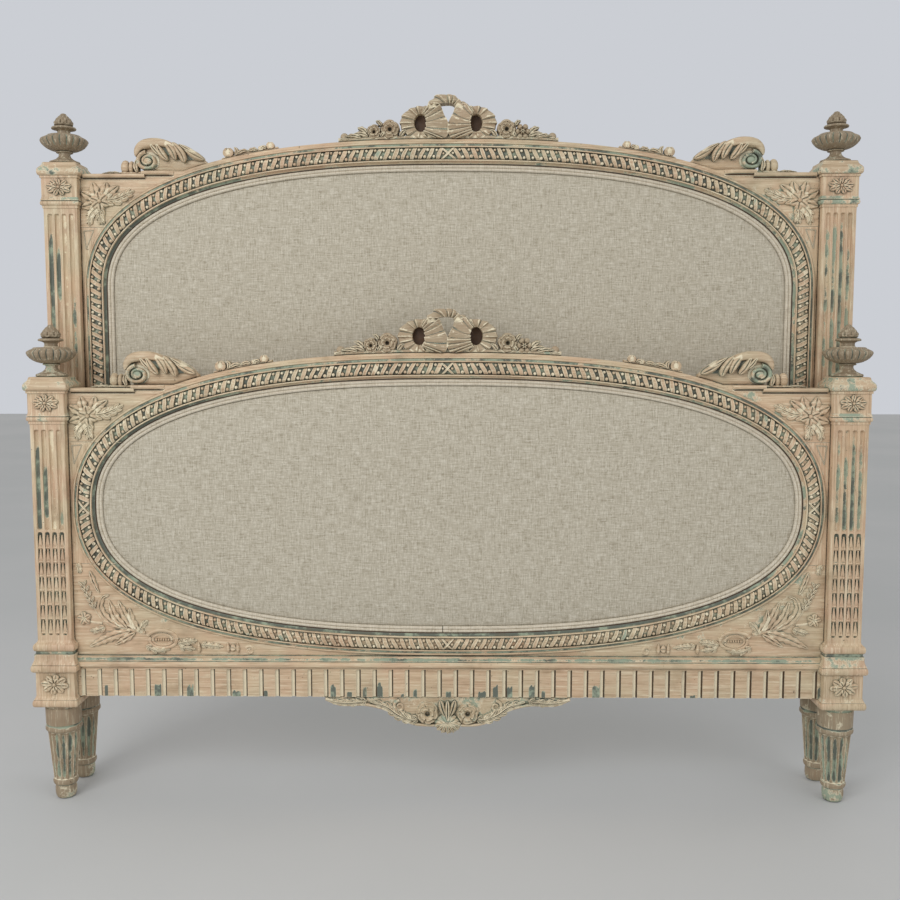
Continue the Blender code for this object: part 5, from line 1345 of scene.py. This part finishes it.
def pleated(shells, outer, inner, pleats, slant, top, side=1):
    """A broad ribbon between two flat edges, folded into pleats that run across it."""
    rows = 15 * pleats
    cols = 11
    a = spine(outer, rows)
    b = spine(inner, rows)
    s = np.linspace(0, 1, cols)[None, :]
    t = np.linspace(0, 1, rows)[:, None]
    fold = pleat(pleats * t + 0.45 * np.sin(7.0 * t + side) + slant * s)
    a = a + (b - a) * (0.06 * fold[:, :1])
    flat = a[:, None, :] * (1 - s)[..., None] + b[:, None, :] * s[..., None]
    lift = 0.0100 + 0.0034 * np.sin(math.pi * (0.10 + 0.80 * s)) - 0.0056 * fold * (0.35 + 0.65 * s)
    points = np.stack([side * flat[..., 0], CARVING_FRONT + 0.002 - lift, top + flat[..., 1]], -1)
    relief(shells, points, CARVING_BACK - 0.003, pleat_coat(fold).ravel())


def bow_ends(shells, top):
    """The ribbon's two broad ends that fall across the loops, and the short fold over the middle."""
    outer = [(0.0520, 0.0545), (0.0480, 0.0450), (0.0468, 0.0330), (0.0480, 0.0210), (0.0525, 0.0120)]
    inner = [(0.0400, 0.0690), (0.0190, 0.0700), (0.0085, 0.0480), (-0.0006, 0.0300), (-0.0006, 0.0130),
             (0.0070, 0.0014), (0.0300, 0.0014)]
    for side in (-1, 1):
        pleated(shells, outer, inner, 7, 0.45, top, side)
    over = [(-0.0420, 0.0590), (-0.0405, 0.0730), (-0.0310, 0.0795), (-0.0270, 0.0865), (0.0010, 0.0880),
            (0.0130, 0.0860), (0.0210, 0.0790), (0.0290, 0.0720), (0.0310, 0.0610)]
    under = [(-0.0220, 0.0620), (-0.0195, 0.0680), (-0.0140, 0.0705), (0.0000, 0.0715), (0.0080, 0.0705),
             (0.0130, 0.0670), (0.0150, 0.0610)]
    pleated(shells, over, under, 6, -0.30, top)


def crest():
    """Ribbon bow with roses, daisies and trailing leaves, about the middle of the oval."""
    shells = Shells()
    top = OVAL_B + TOP_EDGE * MM + CLEAR * MM
    xs = np.linspace(-0.2280, 0.2280, 73)
    low = rail_edge(xs) + CLEAR * MM
    rim = low + 0.0075 + 0.0018 * np.cos(xs * 260) ** 2
    slab(shells, xs, low, rim, CARVING_FRONT, CARVING_BACK, 0.004, 8, 0.5)
    for side in (-1, 1):
        bow_loop(shells, side, top)
        trail(shells, side)
    bow_ends(shells, top)
    curl = spiral((0.0300, top + 0.0650), 0.0075, 0.0020, math.radians(120), -1.1, 24)
    stem(shells, curl, 0.0036, 0.0026, CARVING_FRONT + 0.002, 2.2, 10, 30, -0.1)
    return shells


def on_edge(x, rise):
    """A place a little above the top rail's edge."""
    return (x, float(rail_edge(x)) + CLEAR * MM + rise)


def trail(shells, side):
    """Flowers and leaves that trail down one side of the crest."""
    ground = CARVING_FRONT + 0.003
    back = CARVING_BACK - 0.002
    rose(shells, on_edge(side * 0.1210, 0.0205), 0.0205, 0.0120, ground, back, 0.05, 0.4)
    second = on_edge(side * 0.1540, 0.0165)
    if side < 0:
        rose(shells, second, 0.0160, 0.0100, ground, back, 0.05, 0.1)
    else:
        daisy(shells, second, (0.0165, 0.0165), 6, 0.0110, ground, back, 0.05)
    for x0, z0, x1, z1, width in ((0.100, 0.006, 0.086, 0.018, 0.0060), (0.138, 0.028, 0.150, 0.038, 0.0050),
                                  (0.168, 0.014, 0.188, 0.026, 0.0065), (0.166, 0.008, 0.196, 0.014, 0.0060),
                                  (0.180, 0.006, 0.214, 0.010, 0.0052), (0.140, 0.006, 0.130, 0.014, 0.0050)):
        a = on_edge(side * x0, z0)
        b = on_edge(side * x1, z1)
        mid = ((a[0] + b[0]) / 2, (a[1] + b[1]) / 2 + 0.003)
        leaf(shells, [a, mid, b], width, 0.0080, ground, 3, CREST_SINK)
    x, z = on_edge(side * 0.2160, 0.0105)
    ball(shells, (x, CARVING_FRONT + 0.009, z), (0.0085, 0.0095, 0.0085), 14, 10, 0.1)
    tip = [on_edge(side * x, rise) for x, rise in ((0.205, 0.004), (0.219, 0.005), (0.2275, 0.003))]
    leaf(shells, tip, 0.0040, 0.0060, ground, 2, CREST_SINK)


def scroll():
    """Right shoulder scroll: a volute, a long acanthus leaf over it and a bud at its foot."""
    shells = Shells()
    step = STEP_HIGH + CLEAR * MM
    front = CARVING_FRONT + 0.004
    xs = np.linspace(0.5045, 0.6375, 50)
    low = rail_edge(xs) + CLEAR * MM
    knots = [(0.5045, 0.0200), (0.5126, 0.0275), (0.5297, 0.0375), (0.5493, 0.0470), (0.5689, 0.0555),
             (0.5885, 0.0600), (0.6081, 0.0605), (0.6250, 0.0560), (0.6375, 0.0470)]
    high = STEP_HIGH + np.interp(xs, *zip(*knots))
    high = np.maximum(high, low + 0.003)
    slab(shells, xs, low, high, front + 0.002, CARVING_BACK, 0.004, 12, 0.05)
    eye = (0.6265, step + 0.0205)
    flat = np.array((1.0, 0.84))

    def dark_ground(share):
        return np.where(share < 0.95, 1.2, 0.15)

    def button(share, a):
        return 0.0085 * dome(share ** 2 * 0.9)

    ground = (front + 0.001, CARVING_BACK - 0.002)
    medallion(shells, eye, (0.0235, 0.0195), round_edge, level, *ground, 36, 8, dark_ground)
    winding = spiral((0, 0), 0.0220, 0.0075, math.radians(80), -1.45, 60) * flat + eye
    stem(shells, winding, 0.0050, 0.0034, front, 2.0, 12, 90, 0.45)
    medallion(shells, eye, (0.0095, 0.0080), round_edge, button, front, front + 0.006, 30, 8, 0.40)
    # A dark slate leaf behind the lobes: painted shade between them
    shade = [(0.5240, 0.0275), (0.5500, 0.0345), (0.5800, 0.0420), (0.6150, 0.0475)]
    shade = [(x, step + z) for x, z in shade]
    leaf(shells, shade, 0.0108, 0.0030, front, 0, 0.004, 0.0, 1.1, 40, 11, 0.0)
    hood = [(0.6510, 0.0300), (0.6455, 0.0455), (0.6326, 0.0550), (0.6081, 0.0580), (0.5850, 0.0550),
            (0.5600, 0.0470)]
    hood = [(x, step + z) for x, z in hood]
    leaf(shells, hood, 0.0100, 0.0115, front, 0, CREST_SINK, 0.0, 0.0, 40, 11, 0.0)
    for end, mid, start, width in (((0.6010, 0.0330), (0.6100, 0.0430), (0.6200, 0.0560), 0.0056),
                                   ((0.5836, 0.0215), (0.5950, 0.0340), (0.6080, 0.0570), 0.0078),
                                   ((0.5665, 0.0225), (0.5735, 0.0400), (0.5900, 0.0605), 0.0088),
                                   ((0.5481, 0.0170), (0.5545, 0.0350), (0.5730, 0.0585), 0.0092),
                                   ((0.5085, 0.0225), (0.5290, 0.0330), (0.5530, 0.0500), 0.0080),
                                   ((0.5230, 0.0330), (0.5390, 0.0425), (0.5600, 0.0545), 0.0052)):
        spots = [(x, max(step + z, float(rail_edge(x)) + 0.004)) for x, z in (end, mid, start)]
        leaf(shells, spots, width, 0.0150, front, 0, 0.010, -0.3, 0.0, 22, 11, 0.26)
    shoulder = STEP_LOW + CLEAR * MM
    for x, r, tall in ((0.6755, 0.0098, 0.0150), (0.6625, 0.0066, 0.0142)):
        ball(shells, (x, CARVING_FRONT + 0.011, shoulder + tall), (r, 0.0125, tall), 20, 14, 0.05)
    rising = [(0.649, shoulder + 0.003), (0.652, shoulder + 0.018), (0.648, shoulder + 0.032)]
    leaf(shells, rising, 0.0062, 0.0070, front, 2, 0.014)
    lying = [(0.682, shoulder + 0.0020), (0.700, shoulder + 0.0034), (0.722, shoulder + 0.0016)]
    leaf(shells, lying, 0.0030, 0.0060, CARVING_FRONT + 0.003, 3, 0.014)
    xs = np.linspace(0.6400, 0.6840, 16)
    low = np.full(16, shoulder)
    slab(shells, xs, low, low + 0.0055, CARVING_FRONT + 0.002, CARVING_BACK, 0.003, 6, 0.3)
    return shells


def spray():
    """Buds and leaves on a low stem along the right half of the top edge."""
    shells = Shells()
    xs = np.linspace(0.3550, 0.4720, 32)
    low = rail_edge(xs) + CLEAR * MM
    high = low + 0.0042 + 0.0010 * np.cos(xs * 300)
    slab(shells, xs, low, high, CARVING_FRONT + 0.002, CARVING_BACK - 0.002, 0.003, 6, 0.2)
    for x, r in ((0.4580, 0.0100), (0.3900, 0.0048), (0.3700, 0.0076)):
        at = on_edge(x, r + 0.0020)
        ball(shells, (at[0], CARVING_FRONT + 0.011, at[1]), (r, 0.0125, r), 18, 12, 0.1)
        for lean in (-1, 0, 1):
            petal = [(at[0] + r * 0.35 * lean, at[1] - r), (at[0] + r * 0.72 * lean, at[1] - r * 0.1),
                     (at[0] + r * 0.38 * lean, at[1] + r * 0.86)]
            y0 = CARVING_FRONT + 0.0008
            leaf(shells, petal, r * 0.40, r * 0.22, y0, 0, CREST_SINK, 0.0, 0.05, 14, 7, 0.1)
    rising = [on_edge(0.4420, 0.002), on_edge(0.4400, 0.011), on_edge(0.4450, 0.019)]
    leaf(shells, rising, 0.0046, 0.0070, CARVING_FRONT + 0.003, 0, CREST_SINK)
    for x0, x1, rise in ((0.378, 0.392, 0.010), (0.396, 0.418, 0.009), (0.440, 0.414, 0.010)):
        a = on_edge(x0, 0.004)
        b = on_edge(x1, rise * 0.5)
        mid = ((a[0] + b[0]) / 2, (a[1] + b[1]) / 2 + rise * 0.35)
        leaf(shells, [a, mid, b], 0.0048, 0.0065, CARVING_FRONT + 0.004, 3, CREST_SINK)
    return shells


def cornice():
    """Small stepped moulding under the right shoulder, with a quirk below it painted dark brown as a shadow
    line.
    """
    shells = Shells()
    low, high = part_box("foot_cornice_right")
    y = FACE_Y * MM + 0.0002
    section = [(-0.0058, 0.0, 0.1), (-0.0074, 0.0010, 0.0), (-0.0080, 0.0030, 0.0), (-0.0076, 0.0056, 0.0),
               (-0.0060, 0.0074, 0.1), (-0.0036, 0.0080, 1.0), (-0.0026, 0.0092, WOOD_AND_SHADE_COAT), (-0.0016, 0.0108, WOOD_AND_SHADE_COAT),
               (-0.0012, 0.0120, 1.0)]
    tints = [0.1] + [c for dy, dz, c in section] + [0.5]
    for left, right, top, fade in ((low.x, STEP_INNER_X - 0.0005, STEP_HIGH, 0.016),
                                   (STEP_INNER_X - 0.0065, high.x, STEP_LOW, 0.0001)):
        xs = np.concatenate([[left], np.linspace(left + 0.0004, right, 24)])
        rings = []
        for x in xs:
            grow = min(0.25 + 0.75 * (x - left) / fade, 1) if x > left else -0.5
            front = [(x, y + dy * grow, top - dz) for dy, dz, c in section]
            rings.append([(x, y + 0.006, top)] + front + [(x, y + 0.006, top - 0.0122)])
        tube_grid(shells, np.array(rings), np.tile(tints, len(xs)))
    return shells


# Footboard's lower edge
def apron():
    """Apron rail with open round-topped flutes."""
    low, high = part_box("foot_apron_rail")
    half = APRON_FLUTE_HALF
    pitch = 2 * BOARD_X / APRON_FLUTES
    xs = [-BOARD_X, BOARD_X]
    for k in range(APRON_FLUTES):
        mid = (k - (APRON_FLUTES - 1) / 2) * pitch
        xs += list(mid + half * np.sin(np.linspace(-math.pi / 2, math.pi / 2, 11)))
        xs += [mid - half - 0.0010, mid + half + 0.0010]
        xs += list(mid + np.linspace(half + 0.0030, pitch - half - 0.0030, 6))
    xs = np.array(sorted(x for x in xs if abs(x) <= BOARD_X))
    crown = high.z - APRON_FLUTE_TOP
    straight = np.linspace(low.z, crown - half, 16)
    bend = crown - half + half * np.sin(np.linspace(0.15, 1.55, 8))
    zs = np.concatenate([straight, bend, [crown + 0.0005, high.z - 0.0006, high.z]])
    near = np.clip(np.round(xs / pitch - 0.5), -APRON_FLUTES / 2, APRON_FLUTES / 2 - 1) * pitch + pitch / 2
    dx = (xs - near)[:, None]
    over = np.clip((zs - (crown - half)) / half, 0, 1)
    depth = APRON_FLUTE_DEPTH * dome((dx / half) ** 2 + over ** 2)
    soft = 0.0008 * (zs > high.z - 0.0003)
    y = low.y + depth + soft
    shells = Shells()
    top = np.stack([xs[:, None] * np.ones_like(y), y, zs * np.ones_like(y)], -1)
    panel = np.round(xs / pitch)
    across = xs / pitch - panel
    tall = np.full(len(xs), -0.02)
    for k in np.unique(panel):
        chance, high_share, where, wide = HAND.uniform(0, 1, 4)
        if chance < 0.20 + 0.60 * math.exp(-(k * pitch / 0.27) ** 2):
            chipped = (panel == k) & (np.abs(across - 0.5 * (where - 0.5)) < 0.09 + 0.17 * wide)
            jagged = HAND.uniform(0.75, 1.1, len(xs))
            tall = np.where(chipped, (0.008 + 0.026 * high_share) * jagged, tall)
    coat = 1.35 * np.clip((low.z + tall[:, None] - zs) / 0.007, 0, 1)
    coat = np.where(depth > 0.0003, -0.95, coat)
    # A dark brown strip down the right flank of each flute: a painted shadow
    coat = np.where((dx > 0.5 * half) & (dx < 1.02 * half) & (zs < crown), WOOD_AND_SHADE_COAT, coat)
    relief(shells, top, high.y, coat.ravel())
    return shells


def base_moulding():
    """Straight moulding between the footboard's frame and its apron."""
    low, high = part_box("foot_base_moulding")
    h = high.z - low.z
    back = high.y
    out = back - low.y
    section = [(0.0, 0.0, 0.2), (0.70, 0.0, 0.1), (0.88, 0.03, 0.1), (0.98, 0.10, 0.05), (1.0, 0.20, 0.05),
               (0.98, 0.32, 0.1), (0.88, 0.42, 0.2), (0.72, 0.47, 0.5), (0.58, 0.50, 1.2), (0.55, 0.54, 0.5),
               (0.54, 0.62, 0.74), (0.54, 0.72, 0.74), (0.56, 0.82, 0.60), (0.60, 0.89, 0.3),
               (0.61, 0.93, 0.3), (0.50, 0.96, 0.6), (0.30, 0.98, 1.1), (0.10, 1.0, 0.8), (0.0, 1.0, 0.5)]
    xs = np.linspace(-BOARD_X, BOARD_X, 60)
    rings = np.array([[(x, back - out * u, low.z + h * v) for u, v, g in section] for x in xs])
    shells = Shells()
    tube_grid(shells, rings, np.tile([g for u, v, g in section], len(xs)))
    return shells


def pendant():
    """Carved pendant under the apron: leaf arms, two roses and a shell."""
    low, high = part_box("foot_apron_pendant")
    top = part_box("foot_apron_rail")[0].z - CLEAR * MM
    half = high.x
    drop = top - low.z
    y0 = PLANE_Y["foot"] - 0.018
    back = high.y
    shape = [(0.0, 0.80), (0.10, 0.79), (0.18, 0.77), (0.26, 0.74), (0.34, 0.65), (0.42, 0.51), (0.52, 0.33),
             (0.64, 0.23), (0.78, 0.23), (0.88, 0.21), (0.95, 0.13), (1.0, 0.03)]
    xs = np.linspace(-half, half, 121)
    curve = np.interp(np.abs(xs) / half, *zip(*shape))
    shells = Shells()
    slab(shells, xs, top - drop * curve, np.full(121, top), y0, back, 0.003, 10, 0.18)

    def hung(points, side=1):
        return [(side * x, top - z) for x, z in points]

    arms = ((((0.166, 0.008), (0.198, 0.0115), (0.228, 0.0105), (0.253, 0.004)), 0.0098, 4),
            (((0.074, 0.050), (0.104, 0.036), (0.128, 0.019), (0.160, 0.010)), 0.0125, 5),
            (((0.060, 0.047), (0.082, 0.045), (0.098, 0.030)), 0.0100, 3))
    roll = ((0.252, 0.004), (0.220, 0.016), (0.170, 0.016), (0.126, 0.027), (0.096, 0.046), (0.064, 0.058),
            (0.028, 0.060))
    tongue = ((0.015, 0.006), (0.011, 0.022), (0.004, 0.042))
    for side in (-1, 1):
        for points, width, pairs in arms:
            acanthus(shells, hung(points, side), width, 0.0085, y0, pairs, 0.006, 0.25)
        stem(shells, hung(roll, side), 0.0042, 0.0034, y0, 1.6, 8, 50, 0.1)
        curl = spiral((side * 0.100, top - 0.020), 0.0125, 0.0035, math.radians(90), -side * 1.2, 34)
        stem(shells, curl, 0.0040, 0.0026, y0, 1.4, 8, 40, 0.2)
        flower = (side * 0.0415, top - drop * 0.45)
        rose(shells, flower, 0.0240, 0.0145, y0 - 0.001, y0 + 0.006, 0.15, side * 0.5)
        leaf(shells, hung(tongue, side), 0.0075, 0.0115, y0, 0, 0.006, 0.0, 0.2)

    def rib(a):
        return np.abs(np.cos(6.5 * a)) ** 0.6

    def fan_edge(a):
        return 0.86 + 0.14 * rib(a)

    def fan_lift(share, a):
        return 0.0125 * dome((share * 0.94) ** 2) * (0.78 + 0.22 * rib(a))

    hub = (0.0, top - drop * 0.72)
    medallion(shells, hub, (0.0280, 0.0205), fan_edge, fan_lift, y0, y0 + 0.006, 96, 10, 0.25)
    for k in range(7):
        a = math.radians(-90 + (k - 3) * 27)
        tip = (0.0275 * math.cos(a), hub[1] + 0.0205 * math.sin(a))
        ends = [(0.004 * math.cos(a), hub[1] + 0.004), tip]
        leaf(shells, ends, 0.0050, 0.0155, y0, 0, 0.004, 0.15, 0.1, 14, 7, 0.15)
    leaf(shells, hung(((0.0, 0.006), (0.0, 0.026), (0.0, 0.050))), 0.0058, 0.0150, y0, 0, 0.004)
    return shells


# Upholstery
def drawn_in(edge, share):
    """An edge drawn in towards its middle."""
    mid = (edge[:, 1].max() + edge[:, 1].min()) / 2
    return np.stack([edge[:, 0] * share, mid + (edge[:, 1] - mid) * share], -1)


def pad(board):
    """Crowned linen pad, drawn in along its edge."""
    edge = moved_out(board, -CLEAR)[::PAD_STEP]
    inset = moved_out(board, -CLEAR - 2.0)[::PAD_STEP]
    front = -14.0
    rings = []
    for u in (0.03, 0.12, 0.25, 0.40, 0.55, 0.68, 0.78, 0.86, 0.92, 0.955, 0.975, 0.988, 0.996, 1.0):
        crown = 11.0 * (1 - u ** 5)
        roll = 2.2 * (1 - math.sqrt(max(0.0, 1 - max(0.0, (u - 0.975) / 0.025) ** 2)))
        rings.append(flat_ring(drawn_in(edge, u), (front - crown + roll) * MM))
    rings.append(flat_ring(inset, 9.5 * MM))
    shells = Shells()
    tube_grid(shells, np.array(rings) + (0, PLANE_Y[board], OVAL_Z[board]))
    obj = show(board + "_linen_pad", shells, board, board + "_pad", LINEN_CLOTH)


def welt(board):
    """Double welt around the linen, with a butt joint at the bottom."""
    n = len(PATH[board][0])
    start = int(n * (0.5 + 0.0035))
    picks = (start + np.linspace(0, n * 0.9996, 520)).astype(int) % n
    cord = (WELT_W - 2 * CLEAR) / 4
    section = [(CLEAR, SEAT_Y - CLEAR)]
    for k in (0, 1):
        mid = CLEAR + cord * (2 * k + 1)
        for a in np.linspace(0.1, math.pi - 0.1, 8):
            section.append((mid - cord * math.cos(a), -14.3 - cord * 1.15 * math.sin(a)))
    section.append((WELT_W - CLEAR, SEAT_Y - CLEAR))
    rings = np.stack([flat_ring(moved_out(board, s)[picks], y * MM) for s, y in section], 1)
    shells = Shells()
    tube_grid(shells, rings + (0, PLANE_Y[board], OVAL_Z[board]))
    show(board + "_double_welt", shells, board, board + "_welt", LIT_WELT_CLOTH, None, 60)


def back_panel(board):
    """Linen-covered panel in the rear rebate, with a slightly full middle."""
    edge = moved_out(board, REBATE_W - CLEAR)[::PAD_STEP]
    low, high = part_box(board + "_back_panel")
    y0 = low.y - PLANE_Y[board]
    y1 = high.y - PLANE_Y[board]
    rings = [flat_ring(edge, y0)]
    for u in (1.0, 0.995, 0.98, 0.94, 0.85, 0.7, 0.45, 0.2, 0.04):
        y = y1 - 0.0012 * max(0.0, (u - 0.98) / 0.02) ** 2 + 0.0012 * (1 - u ** 4)
        rings.append(flat_ring(drawn_in(edge, u), y))
    shells = Shells()
    tube_grid(shells, np.array(rings) + (0, PLANE_Y[board], OVAL_Z[board]))
    show(board + "_back_linen", shells, board, board + "_back_panel", LINEN_CLOTH)


# Put everything together
def dress(board):
    """All pieces that both boards have."""
    board_frame(board)
    both(board, "post", post(board, 0.70, RIGHT_WEAR, 0.45), POST_X, 0.0, post(board, 0.50, LEFT_WEAR, 1.2))
    both(board, "leg", leg(), POST_X)
    both(board, "cap", cap(board), POST_X, CAP_LOW[board])
    both(board, "finial", finial(), POST_X, CAP_HIGH[board] + CLEAR * MM)
    placed = Shells()
    placed.take(crest(), False, (0, PLANE_Y[board], OVAL_Z[board]))
    show(board + "_carved_crest", placed, board, board + "_crest", CREST_PAINT)
    both(board, "scroll", scroll(), 0.0, OVAL_Z[board])
    both(board, "spray", spray(), 0.0, OVAL_Z[board])
    both(board, "cornice", cornice(), 0.0, OVAL_Z[board])
    pad(board)
    welt(board)
    back_panel(board)
    for side in ("left", "right"):
        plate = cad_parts["%s_rail_plate_%s" % (board, side)]
        plate.data.materials.clear()
        plate.data.materials.append(IRON)


for board in BODY:
    dress(board)
show("foot_carved_apron_rail", apron(), "foot", "foot_apron_rail", APRON_PAINT)
show("foot_carved_base_moulding", base_moulding(), "foot", "foot_base_moulding", RAIL_PAINT)
show("foot_carved_apron_pendant", pendant(), "foot", "foot_apron_pendant", PENDANT_PAINT)


# Stage, light and camera
def floor():
    """Plain pale floor that fades into the background."""
    mesh = bpy.data.meshes.new("floor")
    size = 14.0
    corners = [(-size, -size, 0), (size, -size, 0), (size, size, 0), (-size, size, 0)]
    mesh.from_pydata(corners, [], [(0, 1, 2, 3)])
    n = Nodes("floor_paint")
    shade = n.mix(n.ramp(n.noise(0.8, 4.0), 0.3, 0.7), srgb(196, 198, 198), srgb(202, 203, 203))
    n.link(shade, n.shader.inputs["Base Color"])
    n.shader.inputs["Roughness"].default_value = 0.8
    mesh.materials.append(n.mat)
    obj = bpy.data.objects.new("floor", mesh)
    bpy.context.scene.collection.objects.link(obj)


def area(name, size, power, at, to):
    """A soft lamp that points at a place."""
    lamp = bpy.data.lights.new(name, "AREA")
    lamp.shape = "RECTANGLE"
    lamp.size, lamp.size_y = size
    lamp.energy = power
    obj = bpy.data.objects.new(name, lamp)
    obj.location = at
    obj.rotation_euler = (Vector(to) - Vector(at)).to_track_quat("-Z", "Y").to_euler()
    bpy.context.scene.collection.objects.link(obj)


def light_and_camera():
    """Pale surroundings, two lamps and the camera of the photograph."""
    world = bpy.data.worlds.new("studio")
    world.use_nodes = True
    tree = world.node_tree
    back = tree.nodes["Background"]
    path = tree.nodes.new("ShaderNodeLightPath")
    mix = tree.nodes.new("ShaderNodeMix")
    mix.data_type = "RGBA"
    mix.inputs[6].default_value = (0.60, 0.60, 0.60, 1)
    mix.inputs[7].default_value = srgb(203, 206, 212)
    tree.links.new(path.outputs["Is Camera Ray"], mix.inputs[0])
    tree.links.new(mix.outputs[2], back.inputs["Color"])
    bpy.context.scene.world = world
    area("key", (2.2, 1.8), 58, (-1.7, -3.0, 2.3), (0.1, 0.0, 0.50))
    area("fill", (2.4, 2.4), 16, (2.6, -2.6, 1.8), (0.0, 0.0, 0.6))
    lens = bpy.data.cameras.new("camera")
    lens.lens = LENS
    lens.sensor_width = 36.0
    lens.clip_end = 200.0
    camera = bpy.data.objects.new("camera", lens)
    camera.location = CAMERA_AT
    camera.rotation_euler = (math.pi / 2 - CAMERA_DOWN, 0.0, CAMERA_TURN)
    bpy.context.scene.collection.objects.link(camera)
    bpy.context.scene.camera = camera
    bpy.context.scene.view_settings.view_transform = "Standard"


floor()
light_and_camera()
